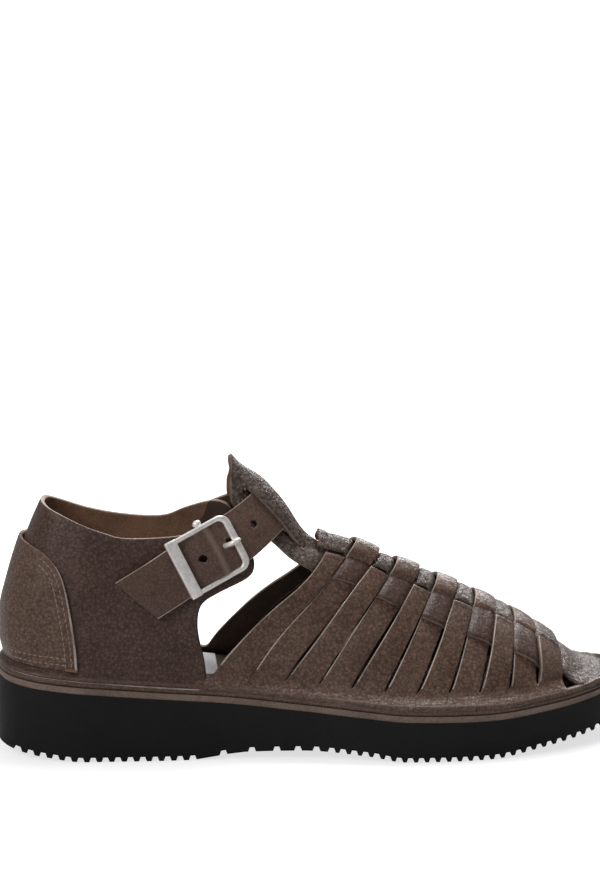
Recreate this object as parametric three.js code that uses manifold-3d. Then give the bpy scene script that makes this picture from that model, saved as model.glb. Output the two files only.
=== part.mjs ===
// A huarache sandal with a woven vamp and a closed heel: the right shoe of a pair, men's size EU 42.
// Millimetres. +X points to the toe, +Y to the medial (inner) side, +Z up, and the ground is Z = 0.
// The origin is under the middle of the outsole.
import * as THREE from 'three';
import { mergeVertices } from 'three/addons/utils/BufferGeometryUtils.js';
import Module from 'manifold-3d';

const wasm = await Module();
wasm.setup();

// ---------------------------------------------------------------- driving dimensions
const SOLE_LENGTH = 290;
const LATERAL = -1;
const MEDIAL = 1;

const WALL = 2.2; // leather of the upper
const GAP = 0.3; // air between two pieces that touch
const CLEARANCE = 0.6; // air under a piece that lies on a curved wall
const MIDSOLE_THICKNESS = 2.5;
const INSOLE_THICKNESS = 2.2;
const INSOLE_MARGIN = 2.6; // from the wall's inner face at its foot to the insole
const WELT_HEIGHT = 4.8;
const WELT_INNER_INSET = 4.3; // from the outsole's outline to the welt's inner face
const FEATHER_INSET = 4.7; // from the outsole's outline to the foot of the upper
const EDGE_CHAMFER = 1.5; // round the outsole's lower edge

const INSTEP_POWER = 1.5; // superellipse of the upper's cross section, where 2 is an ellipse
const TOE_POWER = 2.1; // the same at the toe, which is flatter
const JOINT_X = -60; // the heel's lean fades out here
const COUNTER_THICKNESS = 1.6;

const STRAP_WIDTH = 24;
const STRAP_THICKNESS = 2.2;
const STRAP_CLEARANCE = 1.1; // air under the strap
const STRAP_HOLE_RADIUS = 1.65;
const STRAP_HOLE_PITCH = 14.5;
const STRAP_TAIL_SKEW = 7.8; // the tail's lower corner is cut back by this
const STRAP_RISE = 3.2; // over the buckle's pivot
const STRAP_RISE_SPAN = 11; // from the pivot to where the strap lies flat again

const TONGUE_THICKNESS = 2;
const TONGUE_HALF_GIRTH = 24;
const TONGUE_SLIT_GIRTH = 11.5; // from the tongue's centre line to each slit
const TONGUE_MARGIN_SINK = 0.7; // how far the strap presses the margins outside the slits down
const TONGUE_SWEEP = 3.4; // how much nearer the heel the strap is at the slits than on the ridge
const STRAP_CROSSING_X = -17; // where the strap crosses the ridge
const BRIDGE_AIR = 2.6; // round the strap, under the tongue's middle
const BRIDGE_HEIGHT = STRAP_THICKNESS + TONGUE_THICKNESS + BRIDGE_AIR;
const TONGUE_SWEEP_REACH = 20; // from the crossing to where the slits run straight
const TONGUE_SLIT_PART = 0.05; // width of each slit, as a part of the tongue's half girth
const TONGUE_TUCK = { from: -6, to: 2, perPart: 10 }; // where the tongue goes under the vamp

const STATIONS = 38; // along the shoe
const GIRTH_STEPS = 26; // over the upper, from one feather edge to the other
const OUTLINE_STEP = 0.02; // radians either way, to find which way the outline runs
const NORMAL_STEP = 0.01; // radians either way, to find which way the upper faces
const FAR = 90; // beyond either side of the shoe
const HIGH = 300; // above the whole last
const BEHIND = -170; // behind the heel
const DEEP = 20; // below the foot of the upper

// Outline of the outsole: its centre line, and half its width
const OUTLINE = [
  { x: -145, centre: -0.4, half: 0 },
  { x: -138, centre: -0.4, half: 23 },
  { x: -125, centre: -0.4, half: 31.8 },
  { x: -105, centre: -0.4, half: 35 },
  { x: -75, centre: -1.2, half: 34.8 },
  { x: -40, centre: -3.2, half: 32.4 },
  { x: -10, centre: -4.8, half: 34.2 },
  { x: 20, centre: -4.2, half: 41 },
  { x: 45, centre: -2, half: 46.8 },
  { x: 65, centre: 0.2, half: 48.5 },
  { x: 85, centre: 2, half: 46.8 },
  { x: 105, centre: 3.6, half: 41.2 },
  { x: 122, centre: 4.8, half: 32.8 },
  { x: 135, centre: 5.4, half: 21.6 },
  { x: 145, centre: 5.8, half: 0 },
];

// Side profile of the outsole: its underside and its top
const PROFILE = [
  { x: -145, bottom: 5, top: 35.5 },
  { x: -124, bottom: 2, top: 33.2 },
  { x: -105, bottom: 0, top: 31.4 },
  { x: -60, bottom: 0, top: 27.7 },
  { x: -33, bottom: 3.4, top: 25.3 },
  { x: -6, bottom: 4.2, top: 22.5 },
  { x: 22, bottom: 2.3, top: 19.9 },
  { x: 38, bottom: 0, top: 18.6 },
  { x: 76, bottom: 0, top: 18 },
  { x: 100, bottom: 2.8, top: 19.5 },
  { x: 131, bottom: 6.7, top: 22.3 },
  { x: 145, bottom: 9, top: 24 },
];

// Ridge of the upper; behind the tongue it is only the imagined top of the open heel
const RIDGE = [
  { x: -145, z: 205 },
  { x: -90, z: 225 },
  { x: -60, z: 190 },
  { x: -38, z: 135.6 },
  { x: -26, z: 121.6 },
  { x: -17, z: 111.8 },
  { x: -8, z: 102.4 },
  { x: 0, z: 97 },
  { x: 15, z: 92.4 },
  { x: 33, z: 84 },
  { x: 52, z: 76 },
  { x: 70, z: 68.4 },
  { x: 89, z: 59.6 },
  { x: 104, z: 50 },
  { x: 117, z: 40.5 },
  { x: 126, z: 34.4 },
  { x: 133, z: 32.6 },
  { x: 145, z: 30 },
];

// Back of the heel: how far it leans towards the toe at each height
const HEEL_LEAN = [
  { z: 25, shift: 0.2 },
  { z: 44, shift: 0 },
  { z: 54, shift: -2 },
  { z: 64, shift: -1.6 },
  { z: 78, shift: 1.8 },
  { z: 98, shift: 8.4 },
  { z: 115, shift: 16 },
  { z: 140, shift: 30 },
];

// Collar and front edge of the quarter, from the heel over the tab and down to the shank
const LATERAL_QUARTER = [
  { x: -124.5, z: 115 },
  { x: -117, z: 112 },
  { x: -106, z: 107 },
  { x: -96, z: 103.4 },
  { x: -87, z: 101 },
  { x: -66, z: 101.2 },
  { x: -50, z: 103 },
  { x: -37, z: 101.5 },
  { x: -30, z: 96 },
  { x: -28, z: 88.7 },
  { x: -31, z: 81.5 },
  { x: -46.5, z: 74.3 },
  { x: -52.8, z: 70 },
  { x: -55.5, z: 62.5 },
  { x: -55.2, z: 55 },
  { x: -53.3, z: 47 },
  { x: -52, z: 37.5 },
];
const MEDIAL_QUARTER = [
  { x: -124.5, z: 115 },
  { x: -113, z: 110 },
  { x: -101, z: 105.6 },
  { x: -86, z: 102.5 },
  { x: -68, z: 101.8 },
  { x: -57.6, z: 106 },
  { x: -47, z: 110 },
  { x: -41, z: 110.8 },
  { x: -36.4, z: 108 },
  { x: -33.4, z: 99 },
  { x: -37, z: 87 },
  { x: -47, z: 77 },
  { x: -53.5, z: 69 },
  { x: -55.5, z: 62 },
  { x: -55.2, z: 55 },
  { x: -53.3, z: 47 },
  { x: -52, z: 37.5 },
];
// Rear edge of the vamp, from the shank to the ridge
const VAMP_REAR = [
  { x: -45.5, z: 37 },
  { x: -42.4, z: 43 },
  { x: -31.7, z: 55.8 },
  { x: -13.8, z: 73 },
  { x: 0, z: 86 },
  { x: 2, z: 90 },
];
// Free edge of the heel counter, from the back of the heel down to the welt
const COUNTER_EDGE = [
  { x: -134, z: 98.5 },
  { x: -125, z: 95.5 },
  { x: -118, z: 89.5 },
  { x: -113.4, z: 78 },
  { x: -111, z: 64 },
  { x: -109.2, z: 50 },
  { x: -108.6, z: 36 },
];
// Opening on each side of the toe, between the last strap and the toe piece
const TOE_OPENING = [
  { x: 113, z: 30 },
  { x: 122.5, z: 30.6 },
  { x: 117, z: 35.6 },
];
const TOE_PIECE = { lateral: -8, medial: 20 }; // its narrowest part, between the two openings
const HEEL_TOP = 124; // the collar's line, carried on behind the heel
const COUNTER_TOP = 104; // the counter's upper edge, carried on behind the heel
const SEAM_OVERLAP = 0.01; // the two halves of the opening meet in the middle

// Centre line of the ankle strap, in side view, from its tail to its sewn end
const STRAP_ROUTE = [
  { side: LATERAL, x: -85.4, z: 71.4 },
  { side: LATERAL, x: -73, z: 78.8 },
  { side: LATERAL, x: -61.5, z: 85.6 },
  { side: LATERAL, x: -49.8, z: 92 },
  { side: LATERAL, x: -37.8, z: 98.2 },
  { side: LATERAL, x: -22.6, z: 108.8 },
  { side: MEDIAL, x: -17.5, z: 112 },
  { side: MEDIAL, x: -24.5, z: 107.4 },
  { side: MEDIAL, x: -37, z: 101.5 },
  { side: MEDIAL, x: -52, z: 94 },
];

// Buckle, in the plane of its frame: along the strap, and across it
const FRAME_LENGTH = 31.8;
const FRAME_WIDTH = 29.4;
const FRAME_THICKNESS = 2.2;
const FRAME_BEVEL = 0.5;
const KEEPER_BAR = 5.4;
const FRONT_BAR = 3.4;
const SIDE_BAR = 2.4;
const FRONT_CORNER = 5;
const KEEPER_CORNER = 1.4;
const FRAME_X = -50.1; // its middle, in side view
const FRAME_LIFT = 3.9; // from the wall of the quarter to its underside
const PIVOT_RADIUS = 1.1;
const PIVOT_LIFT = 2.9;
const PIVOT_HALF_LENGTH = 15.5;
const PRONG_RADIUS = 1;
const PRONG_HOLE_X = -40.3; // the strap hole that the prong is in, in side view

// The prong in side view of the buckle: along the strap, and up from the wall of the quarter
const PRONG_ROUTE = [
  { along: 2.6, up: 2.2 },
  { along: 5, up: 2 },
  { along: 8, up: 3.4 },
  { along: 10.2, up: 6.3 },
  { along: 12.2, up: 7.7 },
  { along: 14.4, up: 7.7 },
  { along: 16.2, up: 7.4 },
];

// ---------------------------------------------------------------- tables and curves
// One column of a table at a given key, along a smooth curve that never overshoots its rows
function along(table, key, column, at) {
  const last = table.length - 2;
  let i = 0;
  while (i < last && at > table[i + 1][key]) i += 1;
  const width = table[i + 1][key] - table[i][key];
  const t = THREE.MathUtils.clamp((at - table[i][key]) / width, 0, 1);
  const a = table[i][column];
  const b = table[i + 1][column];
  const startSlope = rowSlope(table, key, column, i) * width;
  const endSlope = rowSlope(table, key, column, i + 1) * width;
  const t2 = t * t;
  const t3 = t2 * t;
  return a * (2 * t3 - 3 * t2 + 1) + b * (3 * t2 - 2 * t3)
    + startSlope * (t3 - 2 * t2 + t) + endSlope * (t3 - t2);
}

function rowSlope(table, key, column, i) {
  const rise = j => (table[j + 1][column] - table[j][column]) / (table[j + 1][key] - table[j][key]);
  if (i === 0) return rise(0);
  if (i === table.length - 1) return rise(i - 1);
  const before = rise(i - 1);
  const after = rise(i);
  if (before * after <= 0) return 0;
  return (2 * before * after) / (before + after);
}

const HALF_LENGTH = SOLE_LENGTH / 2;
const stationAngle = x => Math.acos(THREE.MathUtils.clamp(-x / HALF_LENGTH, -1, 1));
const OUTLINE_BY_ANGLE = OUTLINE.map(row => ({ ...row, angle: stationAngle(row.x) }));
const STATION_ANGLES = Array.from({ length: STATIONS + 1 }, (_, i) => (Math.PI * i) / STATIONS);

// Stations of the sole, with the ends of its two flats kept as lines of their own
const FLAT_ENDS = [-105, -60, 38, 76];
const SOLE_ANGLES = [...STATION_ANGLES];
for (const x of FLAT_ENDS) {
  const angle = stationAngle(x);
  const nearest = SOLE_ANGLES.reduce((best, value, i) => (
    Math.abs(value - angle) < Math.abs(SOLE_ANGLES[best] - angle) ? i : best), 0);
  SOLE_ANGLES[nearest] = angle;
}

const soleBottom = x => along(PROFILE, 'x', 'bottom', x);
const soleTop = x => along(PROFILE, 'x', 'top', x);
const midsoleTop = x => soleTop(x) + GAP + MIDSOLE_THICKNESS;
const weltTop = x => midsoleTop(x) + GAP + WELT_HEIGHT;
const upperFoot = x => midsoleTop(x) + GAP;

// A point of the outsole's outline, moved inwards; angle 0 is the heel's tip and PI the toe's
function outline(angle, side, inset) {
  const at = turn => {
    const folded = Math.PI - Math.abs(Math.PI - Math.abs(turn));
    const mirrored = turn < 0 || turn > Math.PI ? -1 : 1;
    const centre = along(OUTLINE_BY_ANGLE, 'angle', 'centre', folded);
    const half = along(OUTLINE_BY_ANGLE, 'angle', 'half', folded);
    return new THREE.Vector2(-HALF_LENGTH * Math.cos(folded), centre + side * mirrored * half);
  };
  const step = OUTLINE_STEP;
  const run = at(angle + step).sub(at(angle - step)).normalize();
  const inward = new THREE.Vector2(run.y, -run.x).multiplyScalar(side);
  return at(angle).addScaledVector(inward, inset);
}

// One at no distance, falling softly to nothing at the reach
const closeTo = (distance, reach) => Math.cos(
  (Math.PI / 2) * Math.min(Math.abs(distance) / reach, 1),
) ** 2;

// ---------------------------------------------------------------- the last
// A point of the upper's outer face. Girth runs from 0 at the lateral feather edge over PI / 2 at
// the ridge to PI at the medial one, and grow moves the face outwards.
function lastPoint(angle, girth, grow = 0) {
  const lateral = outline(angle, LATERAL, FEATHER_INSET - grow);
  const medial = outline(angle, MEDIAL, FEATHER_INSET - grow);
  const middle = (lateral.x + medial.x) / 2;
  const power = THREE.MathUtils.lerp(
    INSTEP_POWER,
    TOE_POWER,
    THREE.MathUtils.smoothstep(middle, 50, 120),
  );
  const cosine = Math.cos(girth);
  const across = -Math.sign(cosine) * Math.abs(cosine) ** (2 / power);
  const rise = Math.max(Math.sin(girth), 0) ** (2 / power);
  const x = middle + ((medial.x - lateral.x) / 2) * across;
  const y = (lateral.y + medial.y) / 2 + ((medial.y - lateral.y) / 2) * across;
  const foot = upperFoot(x);
  const z = foot + (along(RIDGE, 'x', 'z', x) + grow - foot) * rise;
  const fade = THREE.MathUtils.clamp((JOINT_X - x) / (JOINT_X + HALF_LENGTH), 0, 1);
  return new THREE.Vector3(x + along(HEEL_LEAN, 'z', 'shift', z) * fade, y, z);
}

function lastNormal(angle, girth) {
  const step = NORMAL_STEP;
  const ahead = lastPoint(angle + step, girth).sub(lastPoint(angle - step, girth));
  const over = lastPoint(angle, girth + step).sub(lastPoint(angle, girth - step));
  return ahead.cross(over).normalize();
}

// The key at which a rising function reaches a value
function solve(rising, value, low, high) {
  let from = low;
  let to = high;
  for (let turn = 0; turn < 22; turn += 1) {
    const middle = (from + to) / 2;
    if (rising(middle) < value) from = middle;
    else to = middle;
  }
  return (from + to) / 2;
}

// The spot of the upper's outer face that is seen at x and z from one side: its place and normal
function spotOnLast({ side, x, z }) {
  const turned = part => (side === LATERAL ? part : Math.PI - part);
  const angleAt = girth => solve(angle => lastPoint(angle, girth).x, x, 0.01, Math.PI - 0.01);
  const height = part => lastPoint(angleAt(turned(part)), turned(part)).z;
  const girth = turned(solve(height, z, 0, Math.PI / 2));
  const angle = angleAt(girth);
  return { place: lastPoint(angle, girth), normal: lastNormal(angle, girth) };
}

// ---------------------------------------------------------------- solids
// A closed surface from points and triangles, with shared points merged and empty triangles left out
function closedGeometry(points, triangles) {
  const loose = new THREE.BufferGeometry();
  loose.setAttribute('position', new THREE.Float32BufferAttribute(points.flatMap(p => p.toArray()), 3));
  loose.setIndex(triangles.flat());
  const geometry = mergeVertices(loose, 1e-3);
  const index = Array.from(geometry.index.array);
  const kept = [];
  for (let i = 0; i < index.length; i += 3) {
    const [a, b, c] = index.slice(i, i + 3);
    if (a !== b && b !== c && c !== a) kept.push(a, b, c);
  }
  geometry.setIndex(kept);
  return geometry;
}

// Skin over a run of equal rings of points, closed by a fan over each end or into a loop
function loft(rings, loop = false) {
  const size = rings[0].length;
  const triangles = [];
  const spans = loop ? rings.length : rings.length - 1;
  for (let i = 0; i < spans; i += 1) {
    const here = i * size;
    const next = ((i + 1) % rings.length) * size;
    for (let j = 0; j < size; j += 1) {
      const k = (j + 1) % size;
      triangles.push([here + j, next + j, next + k], [here + j, next + k, here + k]);
    }
  }
  const end = (rings.length - 1) * size;
  for (let j = 1; j < size - 1 && !loop; j += 1) {
    triangles.push([0, j, j + 1], [end, end + j + 1, end + j]);
  }
  return closedGeometry(rings.flat(), triangles);
}

// Thick sheet over a grid: place(i, j, face) gives a point of its lower (0) or upper (1) face,
// and keep(i, j) says which cells are leather
function thickSheet(columns, rows, place, keep = () => true) {
  const points = [];
  for (let face = 0; face < 2; face += 1) {
    for (let i = 0; i <= columns; i += 1) {
      for (let j = 0; j <= rows; j += 1) points.push(place(i, j, face));
    }
  }
  const at = (i, j, face) => (face * (columns + 1) + i) * (rows + 1) + j;
  const kept = (i, j) => i >= 0 && j >= 0 && i < columns && j < rows && keep(i, j);
  const triangles = [];
  const quad = (a, b, c, d) => triangles.push([a, b, c], [a, c, d]);
  const wall = (i0, j0, i1, j1) => quad(at(i0, j0, 0), at(i1, j1, 0), at(i1, j1, 1), at(i0, j0, 1));
  for (let i = 0; i < columns; i += 1) {
    for (let j = 0; j < rows; j += 1) {
      if (!kept(i, j)) continue;
      quad(at(i, j, 1), at(i + 1, j, 1), at(i + 1, j + 1, 1), at(i, j + 1, 1));
      quad(at(i, j, 0), at(i, j + 1, 0), at(i + 1, j + 1, 0), at(i + 1, j, 0));
      if (!kept(i, j - 1)) wall(i, j, i + 1, j);
      if (!kept(i, j + 1)) wall(i + 1, j + 1, i, j + 1);
      if (!kept(i - 1, j)) wall(i, j + 1, i, j);
      if (!kept(i + 1, j)) wall(i + 1, j, i + 1, j + 1);
    }
  }
  return closedGeometry(points, triangles);
}

function toManifold(geometry) {
  const bare = geometry.clone();
  bare.deleteAttribute('normal');
  bare.deleteAttribute('uv');
  const merged = mergeVertices(bare, 1e-4);
  return new wasm.Manifold(new wasm.Mesh({
    numProp: 3,
    vertProperties: new Float32Array(merged.attributes.position.array),
    triVerts: new Uint32Array(merged.index.array),
  }));
}

function toGeometry(manifold) {
  const mesh = manifold.getMesh();
  const geometry = new THREE.BufferGeometry();
  geometry.setAttribute('position', new THREE.Float32BufferAttribute(mesh.vertProperties, 3));
  geometry.setIndex(Array.from(mesh.triVerts));
  return geometry;
}

// Prism across the shoe from y0 to y1, over a closed outline in side view
function sidePrism(points, y0, y1) {
  const shape = new THREE.Shape(points.map(p => new THREE.Vector2(p.x, p.z)));
  const geometry = new THREE.ExtrudeGeometry(shape, { depth: y1 - y0, bevelEnabled: false });
  geometry.rotateX(Math.PI / 2);
  geometry.translate(0, y1, 0);
  return toManifold(geometry);
}

// A smooth line through the rows of a side view
function smoothLine(rows, steps) {
  const curve = new THREE.SplineCurve(rows.map(p => new THREE.Vector2(p.x, p.z)));
  return curve.getSpacedPoints(steps).map(p => ({ x: p.x, z: p.y }));
}

// The last as a closed body, its outer face moved by grow and its underside by drop
function lastBody(grow, drop) {
  const rings = STATION_ANGLES.map(angle => {
    const ring = [];
    for (let j = 0; j <= GIRTH_STEPS; j += 1) {
      ring.push(lastPoint(angle, (Math.PI * j) / GIRTH_STEPS, grow));
    }
    const under = point => new THREE.Vector3(point.x, point.y, point.z - drop);
    return drop > 0 ? [under(ring[0]), ...ring, under(ring[GIRTH_STEPS])] : ring;
  });
  return toManifold(loft(rings));
}

// ---------------------------------------------------------------- sole
// Plate between two height functions, its outline moved inwards and its lower edge chamfered
function plate(inset, bottom, top, chamfer = 0) {
  const rings = SOLE_ANGLES.map(angle => {
    const corner = (side, extra, height, lift) => {
      const p = outline(angle, side, inset + extra);
      return new THREE.Vector3(p.x, p.y, height(p.x) + lift);
    };
    const foot = side => corner(side, chamfer, bottom, 0);
    const edge = side => corner(side, 0, bottom, chamfer);
    const head = side => corner(side, 0, top, 0);
    if (chamfer === 0) return [head(LATERAL), head(MEDIAL), foot(MEDIAL), foot(LATERAL)];
    return [edge(LATERAL), head(LATERAL), head(MEDIAL), edge(MEDIAL), foot(MEDIAL), foot(LATERAL)];
  });
  return loft(rings);
}

const outsole = () => plate(0, soleBottom, soleTop, EDGE_CHAMFER);
const midsole = () => plate(0.4, x => soleTop(x) + GAP, midsoleTop);
const insole = () => plate(
  FEATHER_INSET + WALL + INSOLE_MARGIN,
  upperFoot,
  x => upperFoot(x) + INSOLE_THICKNESS,
);

// Rolled strip round the shoe: its section has two soft ridges and a groove
function welt() {
  const section = [
    { inset: WELT_INNER_INSET, rise: 0 },
    { inset: 1.4, rise: 0 },
    { inset: 0.6, rise: 0.3 },
    { inset: 1.1, rise: 0.52 },
    { inset: 0.9, rise: 0.8 },
    { inset: 2.2, rise: 1 },
    { inset: WELT_INNER_INSET, rise: 0.95 },
  ];
  const ring = (angle, side) => section.map(({ inset, rise }) => {
    const p = outline(angle, side, inset);
    return new THREE.Vector3(p.x, p.y, midsoleTop(p.x) + GAP + WELT_HEIGHT * rise);
  });
  const lateral = STATION_ANGLES.map(angle => ring(angle, LATERAL));
  const medial = STATION_ANGLES.slice(1, -1).reverse().map(angle => ring(angle, MEDIAL));
  return loft([...lateral, ...medial], true);
}

// ---------------------------------------------------------------- upper
// One wall of leather, open at the collar, the throat, both shanks, the toe's sides and underneath
function upper() {
  let wall = lastBody(0, 0).subtract(lastBody(-WALL, DEEP));
  const opening = quarter => [
    { x: BEHIND, z: HEEL_TOP },
    ...smoothLine(quarter, 44),
    ...smoothLine(VAMP_REAR, 10),
    { x: VAMP_REAR[VAMP_REAR.length - 1].x, z: HIGH },
    { x: BEHIND, z: HIGH },
  ];
  wall = wall.subtract(sidePrism(opening(LATERAL_QUARTER), -FAR, 0));
  wall = wall.subtract(sidePrism(opening(MEDIAL_QUARTER), -SEAM_OVERLAP, FAR));
  wall = wall.subtract(sidePrism(TOE_OPENING, -FAR, TOE_PIECE.lateral));
  wall = wall.subtract(sidePrism(TOE_OPENING, TOE_PIECE.medial, FAR));
  return toGeometry(wall);
}

function heelCounter() {
  const cover = lastBody(CLEARANCE + COUNTER_THICKNESS, 0).subtract(lastBody(CLEARANCE, DEEP));
  const front = COUNTER_EDGE[COUNTER_EDGE.length - 1].x;
  const foot = [0, 0.25, 0.5, 0.75, 1].map(part => {
    const x = THREE.MathUtils.lerp(front, BEHIND, part);
    return { x, z: weltTop(x) + GAP };
  });
  const edge = smoothLine(COUNTER_EDGE, 14).filter(p => p.z > foot[0].z + CLEARANCE);
  const side = [...edge, ...foot, { x: BEHIND, z: COUNTER_TOP }];
  return toGeometry(cover.intersect(sidePrism(side, -FAR, FAR)));
}

// ---------------------------------------------------------------- tongue
// The tongue's middle bridges the strap between two slits; lift is how far it has risen
const TONGUE_STATIONS = [
  { x: -37.5, lift: 0 },
  { x: -34.5, lift: 0 },
  { x: -32, lift: 0.55 },
  { x: -30, lift: 1 },
  { x: -26.5, lift: 1 },
  { x: -22, lift: 1 },
  { x: -17, lift: 1 },
  { x: -12, lift: 1 },
  { x: -7.5, lift: 1 },
  { x: -4.5, lift: 0.45 },
  { x: -1.5, lift: 0 },
  { x: 3, lift: 0 },
  { x: 8, lift: 0 },
  { x: 13, lift: 0 },
];

function tongue() {
  const slit = TONGUE_SLIT_GIRTH / TONGUE_HALF_GIRTH;
  const margin = [slit + TONGUE_SLIT_PART, 0.65, 0.82, 1];
  const lateral = margin.map(part => -part).reverse();
  const parts = [...lateral, -slit, -slit / 2, 0, slit / 2, slit, ...margin];
  const place = (i, j, face) => {
    const { x: station, lift } = TONGUE_STATIONS[i];
    const part = parts[j];
    const sweep = Math.min((part / slit) ** 2, 1)
      * closeTo(station - STRAP_CROSSING_X, TONGUE_SWEEP_REACH);
    const x = station - TONGUE_SWEEP * sweep;
    const girth = girthAt(x, part * TONGUE_HALF_GIRTH);
    const angle = stationAngle(x);
    const tucked = x + TONGUE_TUCK.perPart * Math.abs(part);
    const buried = THREE.MathUtils.smoothstep(tucked, TONGUE_TUCK.from, TONGUE_TUCK.to);
    const over = Math.abs(part) <= slit ? lift * BRIDGE_HEIGHT : 0;
    const sunk = Math.abs(part) > slit ? TONGUE_MARGIN_SINK : 0;
    const depth = GAP + sunk + (1 - face) * TONGUE_THICKNESS;
    const offset = over - buried * (WALL + CLEARANCE) - depth;
    return lastPoint(angle, girth).addScaledVector(lastNormal(angle, girth), offset);
  };
  const slits = [margin.length - 1, margin.length + 4];
  const raised = i => TONGUE_STATIONS[i].lift > 0 || TONGUE_STATIONS[i + 1].lift > 0;
  const keep = (i, j) => !(slits.includes(j) && raised(i));
  return thickSheet(TONGUE_STATIONS.length - 1, parts.length - 1, place, keep);
}

// The girth angle that lies this many millimetres of leather away from the ridge
function girthAt(x, distance) {
  const angle = stationAngle(x);
  const step = (Math.PI / 360) * Math.sign(distance || 1);
  let girth = Math.PI / 2;
  let walked = 0;
  let here = lastPoint(angle, girth);
  while (walked < Math.abs(distance)) {
    const next = lastPoint(angle, girth + step);
    walked += next.distanceTo(here);
    here = next;
    girth += step;
  }
  return girth - (step * (walked - Math.abs(distance))) / Math.max(walked, 1);
}

// ---------------------------------------------------------------- strap and buckle
const STRAP_SPOTS = STRAP_ROUTE.map(spotOnLast);
const STRAP_LINE = new THREE.CatmullRomCurve3(STRAP_SPOTS.map(spot => spot.place));
const STRAP_LENGTH = STRAP_LINE.getLength();

// Place and axes of the wall under the strap's centre line, this far from its tail
function strapFrame(distance) {
  const part = THREE.MathUtils.clamp(distance / STRAP_LENGTH, 0, 1);
  const t = STRAP_LINE.getUtoTmapping(part);
  const i = Math.min(Math.floor(t * (STRAP_SPOTS.length - 1)), STRAP_SPOTS.length - 2);
  const between = t * (STRAP_SPOTS.length - 1) - i;
  const normal = STRAP_SPOTS[i].normal.clone().lerp(STRAP_SPOTS[i + 1].normal, between);
  const run = STRAP_LINE.getTangentAt(part);
  const across = normal.cross(run).normalize();
  return { place: STRAP_LINE.getPointAt(part), run, across, up: run.clone().cross(across) };
}

const strapAt = x => solve(distance => strapFrame(distance).place.x, x, 0, STRAP_LENGTH / 2);
const FRAME_AT = strapAt(FRAME_X);
const PRONG_HOLE_AT = strapAt(PRONG_HOLE_X);

// A solid made round a local origin, set on the wall under the strap: x along it, z up from it
function setOnStrap(solid, distance) {
  const { place, run, across, up } = strapFrame(distance);
  return solid.transform(new THREE.Matrix4().makeBasis(run, across, up).setPosition(place).elements);
}

function prongBody(radius) {
  const route = PRONG_ROUTE.map(p => new THREE.Vector3(p.along, 0, p.up));
  const section = new THREE.Shape().absarc(0, 0, radius, 0, 2 * Math.PI);
  const geometry = new THREE.ExtrudeGeometry(section, {
    steps: 14,
    curveSegments: 10,
    extrudePath: new THREE.CatmullRomCurve3(route),
  });
  return setOnStrap(toManifold(geometry), FRAME_AT);
}

function ankleStrap() {
  const columns = 44;
  const rows = 4;
  const place = (i, j, face) => {
    const side = (j / rows - 0.5) * STRAP_WIDTH;
    const start = STRAP_TAIL_SKEW * (0.5 - side / STRAP_WIDTH);
    const distance = THREE.MathUtils.lerp(start, STRAP_LENGTH, i / columns);
    const frame = strapFrame(distance);
    const rise = STRAP_RISE * closeTo(distance - FRAME_AT, STRAP_RISE_SPAN);
    return frame.place.clone()
      .addScaledVector(frame.across, side)
      .addScaledVector(frame.up, STRAP_CLEARANCE + rise + face * STRAP_THICKNESS);
  };
  let strap = toManifold(thickSheet(columns, rows, place));
  for (const hole of [-1, 0, 1]) {
    const cutter = new THREE.CylinderGeometry(STRAP_HOLE_RADIUS, STRAP_HOLE_RADIUS, 16, 12);
    cutter.rotateX(Math.PI / 2);
    const at = PRONG_HOLE_AT + hole * STRAP_HOLE_PITCH;
    strap = strap.subtract(setOnStrap(toManifold(cutter), at));
  }
  return toGeometry(strap.subtract(prongBody(PRONG_RADIUS + GAP)));
}

// Rounded rectangle with one radius at the keeper bar's corners and one at the front bar's
function frameOutline(path, keeperX, frontX, half, keeperRadius, frontRadius) {
  path.moveTo(keeperX + keeperRadius, -half);
  path.lineTo(frontX - frontRadius, -half);
  path.absarc(frontX - frontRadius, -half + frontRadius, frontRadius, -Math.PI / 2, 0);
  path.absarc(frontX - frontRadius, half - frontRadius, frontRadius, 0, Math.PI / 2);
  path.absarc(keeperX + keeperRadius, half - keeperRadius, keeperRadius, Math.PI / 2, Math.PI);
  path.absarc(keeperX + keeperRadius, -half + keeperRadius, keeperRadius, Math.PI, 1.5 * Math.PI);
  return path;
}

function buckleFrame() {
  const length = FRAME_LENGTH / 2 - FRAME_BEVEL;
  const width = FRAME_WIDTH / 2 - FRAME_BEVEL;
  const shape = frameOutline(new THREE.Shape(), -length, length, width, KEEPER_CORNER, FRONT_CORNER);
  shape.holes.push(frameOutline(
    new THREE.Path(),
    KEEPER_BAR - FRAME_LENGTH / 2 + FRAME_BEVEL,
    FRAME_LENGTH / 2 - FRONT_BAR - FRAME_BEVEL,
    FRAME_WIDTH / 2 - SIDE_BAR + FRAME_BEVEL,
    KEEPER_CORNER,
    FRONT_CORNER - SIDE_BAR,
  ));
  const ring = new THREE.ExtrudeGeometry(shape, {
    depth: FRAME_THICKNESS - 2 * FRAME_BEVEL,
    bevelThickness: FRAME_BEVEL,
    bevelSize: FRAME_BEVEL,
    bevelSegments: 1,
    curveSegments: 5,
  });
  ring.translate(0, 0, FRAME_LIFT + FRAME_BEVEL);
  const pivot = new THREE.CylinderGeometry(PIVOT_RADIUS, PIVOT_RADIUS, 2 * PIVOT_HALF_LENGTH, 10);
  pivot.translate(0, 0, PIVOT_LIFT);
  return toGeometry(setOnStrap(toManifold(ring).add(toManifold(pivot)), FRAME_AT));
}

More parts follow.
